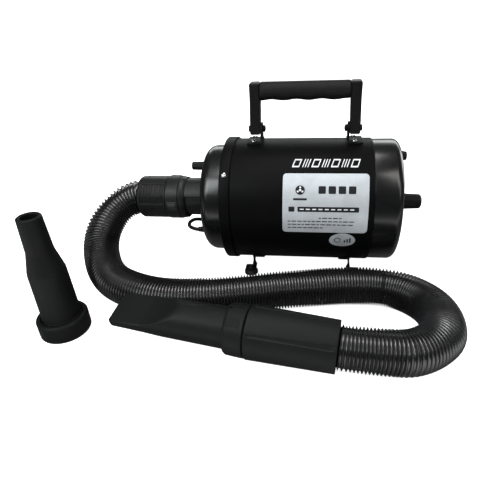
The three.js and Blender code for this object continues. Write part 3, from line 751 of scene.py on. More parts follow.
def build_speed_control():
    middle = centre("speed_knob")
    at = on_axis(middle.y, middle.z)
    tip, base = low("speed_knob").x, high("speed_knob").x

    def flute(x, r, angle):
        grip = wave(x, tip + 3, base - 4, 2)
        return r - grip * 0.45 * (0.5 - 0.5 * cos(angle * 18)) if r > 5.5 else r

    outline = rounded([
        (tip + 6.5, 0), (tip + 6.5, 3.1), (tip + 19.5, 3.1), (tip + 19.5, 5), (base, 5), (base, 6.7, 0.5),
        (tip + 1.2, 6.2, 1.0), (tip, 5.0, 0.6), (tip, 0),
    ])
    skinned("speed_knob", divided(outline, 2.5), "black_plastic", "speed_dial", at, 144, flute)
    line = block("speed_pointer", (tip - 0.15, -0.5, 1), (tip + 0.5, 0.5, 4.8), at)
    dress(line, "aluminium", "speed_dial", material=LABEL_PALE)
    front, back = DOME_FACE - 0.9, DOME_FACE + 0.3
    collar = rounded([(front, 5.2), (front, 8.6, 0.3), (back, 8.9), (back, 5.2)])
    dress(turned("speed_escutcheon", collar, at, 64), "black_plastic")


# Labels, all generic

PER_DEGREE = radians(1) * BARREL_R  # millimetres round the barrel in one degree


def film_outline(x0, x1, a0, a1, corner, steps=8):
    """Points of a rectangle with round corners, in x and in millimetres round the barrel."""
    return rounded([(x0, a0, corner), (x1, a0, corner), (x1, a1, corner), (x0, a1, corner)], steps=steps)


def film(name, outline, lift, material, thickness=0.12, strip=3):
    """A thin film laid on the barrel. The outline is in x and in millimetres round the barrel."""
    made = pushed(name, outline, 0, thickness, axes="XYZ")
    shape = bmesh.new()
    shape.from_mesh(made.data)
    lowest = min(y for _, y in outline)
    highest = max(y for _, y in outline)
    count = max(1, ceil((highest - lowest) / strip))
    for k in range(1, count):
        level = lowest + (highest - lowest) * k / count
        bmesh.ops.bisect_plane(shape, geom=shape.verts[:] + shape.edges[:] + shape.faces[:],
                               plane_co=(0, level * MM, 0), plane_no=(0, 1, 0))
    for vertex in shape.verts:
        x, along, up = vertex.co / MM
        angle = along / BARREL_R
        radius = BARREL_R + lift + up
        vertex.co = Vector((x, -radius * cos(angle), AXIS + radius * sin(angle))) * MM
    bmesh.ops.recalc_face_normals(shape, faces=shape.faces)
    shape.to_mesh(made.data)
    shape.free()
    smooth(made, 25)
    return dress(made, "aluminium", material=material)


def merged(name, pieces):
    """Several film marks as one piece."""
    shape = bmesh.new()
    for piece in pieces:
        shape.from_mesh(piece.data)
    mesh = bpy.data.meshes.new(name)
    shape.to_mesh(mesh)
    shape.free()
    made = placed(name, mesh)
    mesh.materials.append(pieces[0].data.materials[0])
    smooth(made, 25)
    for piece in pieces:
        bpy.data.objects.remove(piece)
    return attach(made, ROOT)


def ellipse(x, along, half_x, half_along, steps=48):
    """The outline of an ellipse, in x and in millimetres round the barrel."""
    angles = [2 * pi * k / steps for k in range(steps)]
    return [(x + half_x * cos(t), along + half_along * sin(t)) for t in angles]


def bar(x0, x1, start, end, corner=0.3):
    """The outline of a bar between two angles in degrees."""
    return film_outline(x0, x1, start * PER_DEGREE, end * PER_DEGREE, corner, 3)


def hoop(x, along, radius, stroke):
    """A thin ring with a small break, as one outline."""
    angles = [radians(8 + 344 * k / 40) for k in range(41)]
    there_and_back = [(radius, t) for t in angles] + [(radius - stroke, t) for t in reversed(angles)]
    return [(x + r * cos(t), along + r * sin(t)) for r, t in there_and_back]


def ink(outline, strip=3):
    """A dark mark printed on a label."""
    return film("ink_mark", outline, 0.22, LABEL_INK, 0.05, strip)


def pale(outline):
    """A pale mark printed over a dark one."""
    return film("pale_mark", outline, 0.28, LABEL_PALE, 0.05)


def build_rating_label():
    """A silver label with a fan disc, four squares, bars, and dashes in place of words."""
    film("rating_label", film_outline(-34, 78, -7.5 * PER_DEGREE, 44.6 * PER_DEGREE, 5), 0.08, LABEL_FILM)
    disc_x, disc_along = -11, 30 * PER_DEGREE
    marks = [ink(ellipse(disc_x, disc_along, 6.2, 6.2))]
    marks += [ink(bar(x0, x0 + 9.5, 27, 33.5, 1.2)) for x0 in range(13, 65, 13)]
    marks += [ink(bar(-20, -2, 21.4, 23.2, 0.4)), ink(bar(-14, 66, 11.6, 16, 1.0)),
              ink(bar(-26, -18, 11.6, 16, 1.0))]
    for k, (start, width) in enumerate(((14, 30), (-27, 88), (-27, 88), (-27, 50))):
        top = 6.6 - 3.0 * k
        filled = 0.0
        while filled < width - 3:
            dash = 3.2 + 2.3 * ((7 * k + 3 * filled) % 1.7)
            marks.append(ink(bar(start + filled, start + min(filled + dash, width), top - 0.9, top)))
            filled += dash + 1.3
    merged("rating_label_marks", marks)

    pale_marks = [pale(ellipse(disc_x, disc_along, 1.6, 1.6, 24))]
    for k in range(3):
        turn = radians(90 + 120 * k)
        blade = (disc_x + 3.6 * cos(turn), disc_along + 3.6 * sin(turn))
        pale_marks.append(pale(ellipse(*blade, 1.3, 1.3, 20)))
    for k in range(9):
        x0 = -11 + 8.2 * k
        pale_marks.append(pale(bar(x0, x0 + 5.2, 13.4, 14.3)))
    merged("rating_label_pale_marks", pale_marks)


def build_oval_sticker():
    """A small silver oval with a ring and three bars of rising height."""
    x, along = 46.5, -16 * PER_DEGREE
    film("oval_sticker", ellipse(x, along, 17.5, 12.2, 72), 0.08, LABEL_FILM)
    marks = [ink(hoop(x - 6.3, along, 4.6, 1.1), 2)]
    for k in range(3):
        x0 = x + 2.4 + 3.6 * k
        marks.append(ink(film_outline(x0, x0 + 2.0, along - 4.2, along + 0.4 + 2 * k, 0.4, 3)))
    merged("oval_sticker_marks", marks)


# The two figures of the printed band. Each stroke is (left, right, lowest, highest), in shares of the figure.
HOLLOW = ((0, 1, 0, 0.16), (0, 1, 0.84, 1), (0, 0.14, 0, 1), (0.86, 1, 0, 1))
SLASHES = ((0.08, 0.2, 0, 1), (0.44, 0.56, 0, 1), (0.8, 0.92, 0, 1))


def build_printed_band():
    """Hollow figures and slashes in turn, all leaning forwards."""
    base, height = 50.5 * PER_DEGREE, 8.5 * PER_DEGREE
    width, pitch, lean = 9.6, 12.8, 0.3
    strokes = []
    for k in range(7):
        x0 = -23 + pitch * k
        for left, right, lowest, highest in (SLASHES if k % 2 else HOLLOW):
            corners = ((left, lowest), (right, lowest), (right, highest), (left, highest))
            outline = rounded([(x0 + width * across + lean * height * up, base + height * up, 0.3)
                               for across, up in corners], steps=3)
            strokes.append(film("stroke", outline, 0.06, LABEL_PALE, 0.06))
    merged("printed_band", strokes)


# Handle

UPRIGHT_WIDTH = 14
TAB_THICK = 2.5


def build_upright(side, outward, pivot):
    """An arm of the handle, whose foot stands a little further out. Gives back the foot's place in x."""
    node = f"handle_upright_{side}"
    half = UPRIGHT_WIDTH / 2
    top_x = high(node).x - half if side == "left" else low(node).x + half
    foot_x = top_x + outward * 1.2
    foot, eye, shoulder, arm, top = 208, 214, 221, 255, 276.8  # heights of the outline's bends
    outline = rounded([
        (foot_x - half, foot, 2.5), (foot_x + half, foot, 2.5), (foot_x + half + 0.6, eye, 3),
        (foot_x + half, shoulder, 3), (top_x + half, arm), (top_x + half, top, 2.6),
        (top_x - half, top, 2.6), (top_x - half, arm), (foot_x - half, shoulder, 3),
        (foot_x - half - 0.6, eye, 3),
    ], steps=6)
    upright = pushed(f"{node}_skin", outline, -10, 10, axes="XZY")
    bevel(upright, 2.2, 4, 50)
    cut(upright, rod("cut_pivot", foot_x - 12, foot_x + 12, 3.3, on_axis(0, pivot)))
    dress(upright, "black_plastic", "handle", [node])
    return foot_x


def build_bracket(side, outward, foot_x, pivot):
    """A plate bent over the barrel, with a tab inside the upright, two screws and the pivot bolt."""
    node = f"handle_bracket_{side}"
    reach = UPRIGHT_WIDTH / 2 + GAP
    face = foot_x - outward * reach
    back = face - outward * TAB_THICK
    t0, t1 = sorted((face, back))
    x0, x1 = sorted((back, foot_x + outward * 11))
    tab = pushed("tab", rounded([(-9, 196), (9, 196), (9, 223, 6), (-9, 223, 6)], steps=8), t0, t1)
    seat = BARREL_R + GAP
    plate = bent_sheet(f"{node}_skin", x0, x1, seat, seat + 2.2, 79, 101)
    join(plate, tab)
    cut(plate, rod("cut_tab", t0 - 1, t1 + 1, 3.2, on_axis(0, pivot)))
    dress(bevel(plate, 0.5, 2, 40), "powder_coat", stands_for=[node])
    for end in ("front", "back"):
        screw = f"bracket_screw_{side}_{end}"
        at = radial(centre(screw).x, angle_of(screw), seat + 2.3)
        cross_screw(f"{screw}_head", at, 3.8, 2.1, stands_for=[screw])
    build_pivot_bolt(side, outward, foot_x + outward * reach, back - outward * GAP, pivot)


def build_pivot_bolt(side, outward, outer, inner, height):
    """A hexagon bolt from outside, through the upright and the tab, into a nut."""
    at = on_axis(0, height)
    shank = rod(f"pivot_bolt_{side}_skin", *sorted((outer + outward * 2, inner - outward * 4)), 2.9, at)
    head = rod("head", *sorted((outer, outer + outward * 2.6)), 4.6, at, 6)
    nut = rod("nut", *sorted((inner, inner - outward * 3.2)), 5, at, 6)
    bolt = join(shank, bevel(head, 0.4, 2, 50), bevel(nut, 0.4, 2, 50))
    dress(bolt, "steel", stands_for=[f"pivot_bolt_{side}"], material=MATERIALS["powder_coat"])


def build_grip():
    left = max(high("handle_upright_left").x + GAP, -68.7)
    right = low("handle_upright_right").x - GAP
    radius = 12.8
    finger = 34
    middle = (left + right) / 2 + 5.5

    def fingers(x, r, angle):
        """Hollows for the fingers on the underside, between three swells."""
        under = max(0.0, -sin(angle)) ** 1.5
        hollow = 0.5 - 0.5 * cos(2 * pi * (x - middle) / finger)
        flat_top = 0.5 * max(0.0, sin(angle)) ** 4
        seam = 0.25 * (patch(angle, 0, -1.2, 1.2, 1) + patch(angle, 180, -1.2, 1.2, 1))
        return r - 1.7 * under * hollow - flat_top + seam if r > 11 else r

    outline = rounded([
        (left - 10, 0), (left - 10, 6), (left, 6), (left, radius - 1.2, 0.6), (left + 2.2, radius - 0.2, 0.8),
        (right - 2.2, radius - 0.2, 0.8), (right, radius - 1.2, 0.6), (right, 6), (right + 10, 6),
        (right + 10, 0),
    ])
    outline = divided(outline, (right - left) / 60)
    at = on_axis(0, centre("handle_grip").z)
    skinned("handle_grip", outline, "rubber", "handle", at, 96, fingers)


def build_handle():
    pivot = joint("handle_swing")["pos_m"][2] / MM
    for side, outward in SIDES:
        foot_x = build_upright(side, outward, pivot)
        build_bracket(side, outward, foot_x, pivot)
    build_grip()


# Feet

def build_feet():
    thick = 2.2
    inner, outer = BARREL_R + GAP, BARREL_R + GAP + thick
    for side, outward in SIDES:
        middle = centre(f"rubber_foot_{side}_front")
        foot_r = high(f"rubber_foot_{side}_front").x - middle.x
        leg_x = middle.x - outward * 7
        base = 8 + GAP
        x0, x1 = sorted((leg_x + outward * 1.5, leg_x - outward * 14))
        strap = bent_sheet(f"foot_bracket_{side}_skin", x0, x1, inner, outer, 232, 308, steps=48)
        legs = [leg(side, leg_x, outward, y, base, thick, foot_r) for y in (middle.y, -middle.y)]
        join(strap, *legs)
        dress(bevel(strap, 0.4, 2, 40), "powder_coat", stands_for=[f"foot_bracket_{side}"])
        for end in ("front", "back"):
            foot = f"rubber_foot_{side}_{end}"
            place = centre(foot)
            outline = rounded([
                (0, 0), (0, 8.4, 0.8), (1.2, foot_r, 1.0), (5.4, foot_r, 2.2), (8.1, 8.2, 0.8), (8.1, 2.0),
                (base + thick + GAP, 2.0), (base + thick + GAP, 0),
            ])
            skinned(foot, outline, "rubber", at=standing(place), segments=64)
            seat = standing(place, base + thick + 0.1)
            cross_screw(f"foot_screw_{side}_{end}", seat, 4.2, 2.0, shank=1)


def leg(side, x, outward, y, base, thick, foot_r):
    """A strip that leaves the strap, bows outwards and back, and turns out under a rubber foot's neck."""
    half = thick / 2
    end = 7 + foot_r - 2
    bow = smooth_curve([(0, 0, 46), (0.3, 0, 28), (1.7, 0, 22), (1.0, 0, 15.5), (-0.8, 0, base + 4)])
    outside = [(p.x + half, p.z) for p in reversed(bow)]
    inside = [(p.x - half, p.z) for p in bow]
    under = rounded([inside[-1], (half - 1.9, base, 2.2), (end, base)], closed=False)
    over = rounded([(end, base + thick), (half - 0.8, base + thick, 1.0), outside[0]], closed=False)
    outline = [*inside, *under[1:], *over[:-1], *outside]
    outline = [(x + outward * out, height) for out, height in outline]
    strip = pushed(f"leg_{side}_{y:.0f}", outline, y - 9, y + 9, axes="XZY")
    return cut(strip, rod("clear", x - 30, x + 30, BARREL_R + 2 * GAP, segments=180))


# Hose

HOSE_CENTRE_LINE = [
    (-262.3, 0, 109), (-267, 0, 109), (-286, -5, 104), (-304, -18, 92), (-316, -38, 76), (-318, -59, 59),
    (-311, -80, 46), (-296, -104, 36), (-273, -125, 30), (-233, -143, 27), (-192, -151, 26), (-143, -148, 26),
    (-90, -138, 26), (-36, -125, 26), (5, -117, 26), (46, -110, 26), (90, -108, 26), (113, -112, 26),
    (132, -121, 26), (146, -133, 26), (157, -148, 26), (163, -166, 26), (163.5, -185, 26), (158, -205, 27),
    (148, -218, 28), (132, -231, 29), (115, -239, 30), (97, -241, 31),
]
HOSE_CREST_R = 26
HOSE_GROOVE_R = 22.4
HOSE_BORE_R = 21.2
LOOP_BEND = ((160, -128, 26), (160, -232, 26))
WAND_BEND = ((112, -240, 31), (56, -240, 31))
HOSE_SKINS = ("hose_rear_skin", "hose_loop_skin", "hose_front_skin")
SLEEVE_END = 135.2  # length of the handpiece behind the wand's reference point


def hose_ribs(path):
    """Lengths along the path where each rib starts; the ribs are pulled apart near the blower."""
    relaxed, pulled, pulled_length = 4.05, 5.4, 300
    starts = [0.0]
    while starts[-1] < path.length - relaxed / 2:
        share = max(0, 1 - starts[-1] / pulled_length)
        starts.append(starts[-1] + relaxed + (pulled - relaxed) * share)
    scale = path.length / starts[-1]
    return [s * scale for s in starts]


def rib_radius(phase):
    """A narrow rounded crest with steep flanks, over a wider groove."""
    swell = 0.5 - 0.5 * cos(2 * pi * phase)
    return HOSE_GROOVE_R + (HOSE_CREST_R - HOSE_GROOVE_R) * swell ** 1.5


def build_hose():
    """One ribbed tube in three stretches. The first rides on the root; the last two are on no body, with
    their placing baked into their meshes.
    """
    last_points = [WAND @ Vector((SLEEVE_END + reach, 0, 0)) for reach in (10, GAP)]
    path = Path([*HOSE_CENTRE_LINE, *last_points])
    ribs = hose_ribs(path)
    rib_points = 8
    loop_starts = next(i for i, s in enumerate(ribs) if path.at(s)[0].x > 100 and path.at(s)[0].y > -125)
    front_starts = next(i for i, s in enumerate(ribs) if i > loop_starts + 10 and path.at(s)[0].x < 116
                        and path.at(s)[0].y < -200)
    cuts = (0, loop_starts, front_starts, len(ribs) - 1)
    made = []
    for name, first, last in zip(HOSE_SKINS, cuts, cuts[1:]):
        stations = []
        for i in range(first, last):
            for k in range(rib_points):
                phase = k / rib_points
                stations.append((ribs[i] + (ribs[i + 1] - ribs[i]) * phase, rib_radius(phase)))
        stations.append((ribs[last], HOSE_GROOVE_R))
        made.append(swept(name, path, stations, HOSE_BORE_R, 48, crease=80))
    rear, loop, front = made
    dress(rear, "hose_plastic", ROOT, ["hose_rear"])
    dress(loop, "hose_plastic", None, ["hose_middle"])
    dress(front, "hose_plastic", None, ["hose_front"])
    bpy.context.view_layer.update()
    bends = ((loop, ROOT, "hose_loop", LOOP_BEND), (front, "hose_loop", "wand", WAND_BEND))
    for piece, before, after, bend in bends:
        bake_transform(piece)


def build_hose_collar():
    """The turning collar, with three patches of fine ribs for the fingers."""
    front = low("hose_collar").x
    back = high("hose_collar").x
    radius = high("hose_collar").y

    def collar_ribs(x, r, angle):
        if r < 31.5 or x > back - 8:
            return r
        rib = 0.0
        for middle in (-5, 115, 235):
            away = turn_from(angle, middle)
            band = wave(away, -13, 13, 2)
            rib = max(rib, band * (0.5 + 0.5 * cos(radians(away) * 90)))
        return r - 0.5 + 0.7 * rib * wave(x, front + 2, back - 11, 1.5)

    outline = rounded([
        (front, SPIGOT_R + GAP), (front, radius - 0.2, 1.2), (back - 10, radius - 0.2, 0.5),
        (back - 9.2, radius - 1.4, 0.3), (back - 7.5, radius - 1.2, 0.5), (back - 2.4, radius - 2.2, 1.5),
        (back, radius - 4, 0.8), (back, SPIGOT_R + GAP),
    ])
    # Painted shade: the collar takes the darker copy of the charcoal finish.
    skinned("hose_collar", divided(outline, 2.5), "charcoal_plastic", "lock_collar", BARREL, 360, collar_ribs,
            material=SHADED_CHARCOAL)


def build_hose_cuff():
    start = low("hose_cuff").x
    stop = low("hose_collar").x - GAP
    end = -206.3
    cuff_r = high("hose_cuff").y + 1.2

    def cuff_panels(x, r, angle):
        """Recessed panels with fine ribs across them, each with a ledge along its lower edge."""
        if r < cuff_r - 2.5:
            return r
        panel, ledge = 0.0, 0.0
        for middle in (38, 158, 278):
            away = turn_from(angle, middle)
            panel = max(panel, wave(away, -19, 20, 1.5), 1.5 * wave(away, -36, -18, 1.2))
            ledge = max(ledge, wave(away, -39, -35.5, 1.2))
        inside = wave(x, start + 5, stop - 3, 1)
        rib = 0.5 + 0.5 * cos(2 * pi * (x - start) / 4.2)
        return r - inside * (panel * (1.5 - 0.9 * rib) - 0.7 * ledge)

    cuff = rounded([
        (start, 24.5), (start, cuff_r - 2.2, 0.8), (start + 3.2, cuff_r - 0.3, 1.5),
        (stop - 1, cuff_r - 0.3, 0.4), (stop, cuff_r - 1.4, 0.2), (stop, SPIGOT_R - 0.2),
        (end, SPIGOT_R - 0.2), (end, 24.5),
    ])
    # Painted shade: the cuff takes the darker copy of the charcoal finish.
    skinned("hose_cuff", divided(cuff, 0.7), "charcoal_plastic", segments=240, shape=cuff_panels,
            material=SHADED_CHARCOAL)


# Wand

def build_sleeve():
    end = SLEEVE_END

    def channels(x, r, angle):
        """Shallow channels along the sleeve, each with a straight edge and one that spreads to the tail."""
        if r < 28.5:
            return r
        spread = 5 + 5.5 * min(max((x - 40) / 90, 0), 1)
        depth = 0.0
        for straight in (31, 101, 196, 281):
            depth = max(depth, patch(angle, straight, 0, spread, 0.9))
        lip = wave(x, end - 4.4, end - 3.6, 0.6)
        return r - 0.8 * depth * wave(x, 37, end - 5, 1.5) - 0.5 * lip

    sleeve = rounded([
        (31.5, 27), (31.5, 30.4, 0.3), (32.9, 32.5, 0.5), (end - 0.2, 30.3, 0.9), (end, 27),
    ])
    skinned("handpiece_sleeve", divided(sleeve, 2.2), "charcoal_plastic", "wand", WAND, 360, channels, 50)


def build_lock_ring():
    def ring_marks(x, r, angle):
        """Two patches of short ribs for the fingers, and three slots of the bayonet lock."""
        if r < 28:
            return r
        ribs = max(patch(angle, middle, -half, half, 1.5) for middle, half in ((55, 10), (-14, 7)))
        ribs *= wave(x, 9.5, 26.3, 1) * (0.5 - 0.5 * cos(2 * pi * (x - 9.5) / 2.8))
        slot = max(patch(angle, middle, -4.4, 4.4, 0.9) for middle in (-27, 93, 213))
        return r + 0.5 * ribs - 3.8 * slot * wave(x, 9, 27, 0.8)

    ring = rounded([
        (6.5, 26.4), (6.5, 29.4, 0.8), (9.2, 31.1, 1.6), (29.9, 31.8, 0.4), (31.2, 30.0, 0.2), (31.2, 26.4),
    ])
    skinned("nozzle_ring", divided(ring, 0.55), "charcoal_plastic", "lock_ring", WAND, 300, ring_marks, 40)


def build_flat_nozzle():
    """A tapering tube whose top and bottom are scooped away to a flat, wide slot at the tip."""
    tip = -141
    scoop_end = -50  # where the scoop starts to cut into the round tube
    neck = -102  # where the flat blade begins
    blade = 4.7
    sides = 160

    def between(x, x0, x1):
        return min(max((x - x0) / (x1 - x0), 0), 1)

    def radius_at(x):
        flare = 1.6 * between(x, tip, tip + 3)
        return 21.8 + flare + 0.9 * between(x, tip + 3, -60) + 1.4 * between(x, -60, 28)

    def half_height(x):
        rise = 22 * between(x, neck, scoop_end) ** 1.8
        return blade + 2.2 * between(x, tip, neck) + rise + 40 * between(x, scoop_end, scoop_end + 20)

    def ring(x, wall):
        radius, limit = radius_at(x) - wall, half_height(x) - wall
        points = []
        for k in range(sides):
            angle = 2 * pi * (k + 0.5) / sides
            y, z = -radius * cos(angle), radius * sin(angle)
            share = abs(z) / limit
            z /= (1 + share ** 14) ** (1 / 14)
            ridge = 0.6 * patch(angle, 14, -1.8, 1.8, 1.5) * wave(x, -150, 0, 4) if not wall else 0
            points.append((x, y * (1 + ridge / radius), z * (1 + ridge / radius)))
        return points

    stations = [28 - 2 * k for k in range(39)]
    stations += [-50 - 1.25 * k for k in range(70) if -50 - 1.25 * k > tip + 3]
    stations += [tip + 3, tip + 1.6, tip + 0.6, tip]
    wall = 2.2
    lip = {tip: 0.5, tip + 0.6: 0.2}
    outer = [ring(x, lip.get(x, 0)) for x in stations]
    inner = [ring(x, wall) for x in reversed(stations)]
    rings, verts = [], []
    for loop in outer + inner:
        rings.append(list(range(len(verts), len(verts) + sides)))
        verts += loop
    nozzle = commit("flat_nozzle_skin", verts, skin(rings, closed_along=True), WAND @ NOZZLE_ROLL, 50)
    dress(nozzle, "charcoal_plastic", "nozzle", ["flat_nozzle"])


# Spare nozzle

def build_spare_nozzle():
    at = standing(centre("spare_ring"))

    def seam(x, r, angle):
        line = patch(angle, 62, -1.2, 1.2, 1) + patch(angle, 242, -1.2, 1.2, 1)
        return r + 0.3 * line if r > 12 else r

    ring = rounded([
        (0, 25.2), (0, 31.4, 0.8), (1.5, 32.3, 1.2), (22.6, 32.3, 1.8), (25, 30.6, 0.8), (25, 26.4, 0.6),
        (21, 25.3), (20, 25.2),
    ])
    skinned("spare_ring", ring, "charcoal_plastic", "spare_collar", at)
    cone = rounded([
        (1, 21), (1, 24.9, 0.6), (25.4, 24.9, 0.5), (25.6, 24.1, 0.4), (93, 22.7, 22), (121, 16.2, 26),
        (167, 14.3, 2.6), (167, 9.5, 2.2), (122, 12.5, 10), (95, 19.6, 10),
    ], steps=10)
    skinned("spare_nozzle", divided(cone, 5), "charcoal_plastic", "spare", at, shape=seam)


# Power cord

CORD_R = 2.8
CORD_LINE = [
    (-140, *CORD_HOLE), (-150, *CORD_HOLE), (-171, *CORD_HOLE), (-184, -27, 70.5), (-189, -11, 69.5),
    (-185, 6, 67), (-172, 20, 59), (-155, 36, 44), (-135, 56, 23), (-112, 78, 7), (-88, 94, 3), (-60, 103, 3),
    (20, 104, 3), (50, 108, 3), (54, 114, 3), (46, 119, 3), (-30, 120, 3), (-52, 124, 3), (-55, 130, 3),
    (-48, 135, 3), (20, 136, 3), (42, 130, 5), (54, 121, 8), (62, 118, 11), (72, 118, 11),
]


def build_cord():
    path = Path(CORD_LINE, 2)
    count = int(path.length / 3)
    stations = [(path.length * k / count, CORD_R) for k in range(count + 1)]
    cord = swept("power_cord_skin", path, stations, sides=20)
    dress(cord, "rubber", stands_for=["power_cord"])
    relief = [(-168, 0), (-168, 3.6)]
    for k in range(5):
        x = -166.8 + 2.4 * k
        swell = 4 + 0.3 * k
        relief += [(x, swell), (x + 1.3, swell), (x + 1.5, swell - 0.9), (x + 2.1, swell - 0.9)]
    relief += [(-154, 5.4), (-153.3, 6.8), (-152.6, 6.8), (-152.6, 0)]
    dress(turned("cord_relief", relief, CORD_ENTRY, 40), "rubber")


def build_plug():
    """A moulded plug with a tapering neck, and a plate with two round pins."""
    lowest, highest = low("plug_body"), high("plug_body")
    body = pushed("plug_body_skin", rounded([
        (lowest.x + 6, lowest.y + 3, 4), (lowest.x + 14, lowest.y, 6), (highest.x, lowest.y, 1.5),
        (highest.x, highest.y, 1.5), (lowest.x + 14, highest.y, 6), (lowest.x + 6, highest.y - 3, 4),
    ], steps=6), lowest.z, highest.z, axes="XYZ")
    bevel(body, 2.6, 4, 40)
    middle_y = (lowest.y + highest.y) / 2
    x0, x1 = lowest.x, lowest.x + 9
    neck = rounded([(x0, 0), (x0, 4.2, 0.6), (x1, 6.4), (x1, 0)])
    join(body, turned("neck", neck, on_axis(middle_y, 11), 40))
    dress(body, "rubber", stands_for=["plug_body"])
    pins_low, pins_high = low("plug_pins"), high("plug_pins")
    plate = block("plug_pins_skin", (pins_low.x, middle_y - 9, 2), (pins_low.x + 1.7, middle_y + 9, 17))
    bevel(plate, 0.5, 2)
    x0, x1 = pins_low.x + 1, pins_high.x
    pin = rounded([(x0, 0), (x0, 2.4), (x1, 2.4, 1.4), (x1, 0)])
    pins = [turned(f"pin_{side}", pin, on_axis(middle_y + side * 6, 10), 32) for side in (-1, 1)]
    dress(join(plate, *pins), "brass", stands_for=["plug_pins"])


# The CAD nodes that stay as they are

def finish_inner_parts():
    """The pieces inside the barrel keep their CAD shape and take a finish of their own."""
    nodes = {
        "foam": ("acoustic_liner", "filter_foam"),
        "steel": ("filter_stud", "motor_shaft", "bearing_front", "bearing_rear", "heater_coil"),
        "black_plastic": ("motor_switch", "heat_switch"),
        "aluminium": ("speed_pot", "motor_can", "fan_shroud", "impeller"),
        "circuit_board": ("control_board",),
        "rubber": ("motor_mount",),
        "mica": ("heater_frame",),
    }
    for slot, names in nodes.items():
        for name in names:
            dress(frame["nodes"][name], slot, None)


# Stage, light and camera

PAPER_SHADE = 0.8
PAPER_GLOW = 0.92
PAPER_IN_REFLECTION = 0.14
CARD_IN_REFLECTION = 0.9
CARD_NEAR, CARD_FAR = -262, -520  # the edges of the bright strip on the floor, in y about ORIGIN
CARD_FADE = 0.06  # metres
ROOM_GLOW = 0.26
ROOM_IN_REFLECTION = 0.07
CAMERA_PLACE = (9.7, -600.2, 367.3)
CAMERA_ANGLES = (-8.45, 29.77, -2.72)  # heading from +Y towards +X, drop below the horizon, and roll
CAMERA_SHIFT = (-0.0198, -0.005)
LENS = 30.55  # millimetres, on a sensor 36 mm wide


def studio_paper():
    """White paper that reflections show dim, with a bright strip in front of the object."""
    paper = Shader("studio_paper")
    surface = paper.surface
    paper.give(surface, Roughness=0.9, Specular_IOR_Level=0, Emission_Color=(1, 1, 1, 1))
    rays = paper.node("ShaderNodeLightPath")
    split = paper.node("ShaderNodeSeparateXYZ")
    paper.link(paper.place, split.inputs["Vector"])
    near, far = (in_frame((0, y, 0)).y for y in (CARD_NEAR, CARD_FAR))
    card = paper.math("MULTIPLY", paper.spread(split.outputs["Y"], 0, 1, near, near - CARD_FADE),
                      paper.spread(split.outputs["Y"], 1, 0, far, far - CARD_FADE))
    reflected = paper.mix(card, grey(PAPER_IN_REFLECTION), grey(CARD_IN_REFLECTION))
    shade = paper.mix(rays.outputs["Is Glossy Ray"], grey(PAPER_SHADE), reflected)
    paper.link(shade, surface.inputs["Base Color"])
    glow = paper.spread(rays.outputs["Is Camera Ray"], 0, PAPER_GLOW, 0, 1)
    paper.link(glow, surface.inputs["Emission Strength"])
    return paper.material


def build_floor():
    """A sheet of paper on the floor that curves up behind the object."""
    size = 12.0
    bend = 1.5
    back = 3.2
    profile = [(-size, 0.0), (back, 0.0)]
    profile += [(back + bend * sin(radians(a)), bend - bend * cos(radians(a))) for a in range(9, 91, 9)]
    profile.append((back + bend, 6.0))
    verts = [(x, y, z) for y, z in profile for x in (-size, size)]
    faces = [(2 * k, 2 * k + 1, 2 * k + 3, 2 * k + 2) for k in range(len(profile) - 1)]
    mesh = bpy.data.meshes.new("studio_floor")
    mesh.from_pydata(verts, [], faces)
    floor = bpy.data.objects.new("studio_floor", mesh)
    bpy.context.scene.collection.objects.link(floor)
    for face in mesh.polygons:
        face.use_smooth = True
    floor.location.z = -0.0002
    mesh.materials.append(studio_paper())


def softbox(name, place, size, power, target=(0, -60, 90), colour=(1, 1, 1)):
    """A rectangular light at a place in millimetres about ORIGIN, facing a target."""
    data = bpy.data.lights.new(name, "AREA")
    data.shape = "RECTANGLE"
    data.size, data.size_y = (length * MM for length in size)
    data.energy = power
    data.color = colour
    light = bpy.data.objects.new(name, data)
    light.location = in_frame(place)
    light.rotation_mode = "QUATERNION"
    light.rotation_quaternion = (Vector(target) - Vector(place)).to_track_quat("-Z", "Y")
    bpy.context.scene.collection.objects.link(light)
    return light


def build_lights():
    """Wide, weak lights whose reflections draw the shapes, and a key light that only adds brightness."""
    softbox("top_light", (-150, 0, 1750), (1500, 420), 12)
    softbox("back_light", (0, 1500, 750), (2200, 420), 8, colour=(0.97, 0.99, 1))
    softbox("left_panel", (-750, -1150, 1350), (420, 900), 8, colour=(0.95, 1, 1))
    softbox("right_panel", (650, -800, 1500), (400, 900), 5, colour=(1, 0.98, 0.95))
    softbox("far_left_light", (-1500, -1300, 1500), (900, 1300), 13)
    softbox("far_right_light", (1700, -1200, 1300), (500, 1000), 4)
    softbox("rear_light", (1400, 1000, 500), (900, 700), 8)
    key = softbox("key_light", (-500, -1300, 1500), (1400, 900), 18)
    key.visible_glossy = False


def build_hose_lights():
    """Two lights for the hose alone, so that its ribs glint while the barrel stays dark."""
    hose = bpy.data.collections.new("hose_only")
    for name in HOSE_SKINS:
        hose.objects.link(bpy.data.objects[name])
    target = (0, -150, 40)
    above = softbox("hose_light_above", (0, -200, 1500), (2600, 420), 20, target)
    front = softbox("hose_light_front", (0, -1500, 1100), (2600, 300), 7, target)
    for light in (above, front):
        light.light_linking.receiver_collection = hose


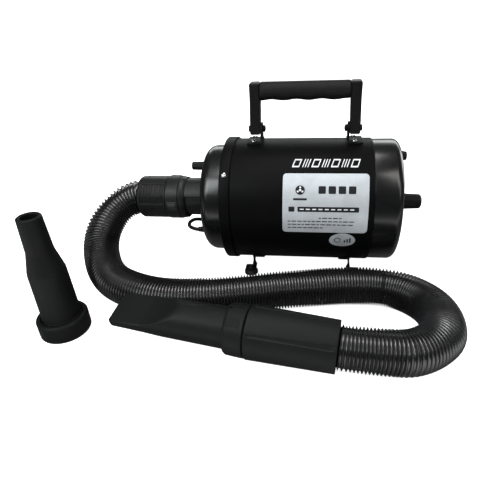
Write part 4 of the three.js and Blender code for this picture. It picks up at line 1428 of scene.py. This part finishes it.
def build_room():
    """A pale room all round: white to the camera, dim in reflections."""
    world = bpy.data.worlds.new("studio")
    bpy.context.scene.world = world
    world.use_nodes = True
    nodes, links = world.node_tree.nodes, world.node_tree.links
    background = nodes["Background"]
    rays = nodes.new("ShaderNodeLightPath")
    strength = None
    for ray, value in (("Is Glossy Ray", ROOM_IN_REFLECTION), ("Is Camera Ray", 1.0)):
        mix = nodes.new("ShaderNodeMix")
        links.new(rays.outputs[ray], mix.inputs["Factor"])
        mix.inputs["A"].default_value = ROOM_GLOW
        mix.inputs["B"].default_value = value
        if strength:
            links.new(strength, mix.inputs["A"])
        strength = mix.outputs["Result"]
    links.new(strength, background.inputs["Strength"])
    background.inputs["Color"].default_value = (0.98, 0.99, 1.0, 1)


def build_camera():
    heading, drop, roll = (radians(angle) for angle in CAMERA_ANGLES)
    ahead = Vector((sin(heading) * cos(drop), cos(heading) * cos(drop), -sin(drop)))
    level = Vector((cos(heading), -sin(heading), 0))
    above = level.cross(ahead)
    right = level * cos(roll) + above * sin(roll)
    up = right.cross(ahead)
    data = bpy.data.cameras.new("photo_camera")
    data.lens = LENS
    data.sensor_width = 36
    data.shift_x, data.shift_y = CAMERA_SHIFT
    data.clip_start = 0.02
    camera = bpy.data.objects.new("photo_camera", data)
    turn = Matrix((right, up, -ahead)).transposed().to_4x4()
    camera.matrix_world = Matrix.Translation(in_frame(CAMERA_PLACE)) @ turn
    bpy.context.scene.collection.objects.link(camera)
    bpy.context.scene.camera = camera


build_barrel()
build_front_ring()
build_front_dome()
build_outlet_spigot()
build_rear_cap()
build_filter()
build_push_buttons()
build_speed_control()
build_rating_label()
build_oval_sticker()
build_printed_band()
build_handle()
build_feet()
build_hose()
build_hose_collar()
build_hose_cuff()
build_sleeve()
build_lock_ring()
build_flat_nozzle()
build_spare_nozzle()
build_cord()
build_plug()
finish_inner_parts()
build_floor()
build_lights()
build_hose_lights()
build_room()
build_camera()
bpy.context.scene.view_settings.view_transform = "Standard"
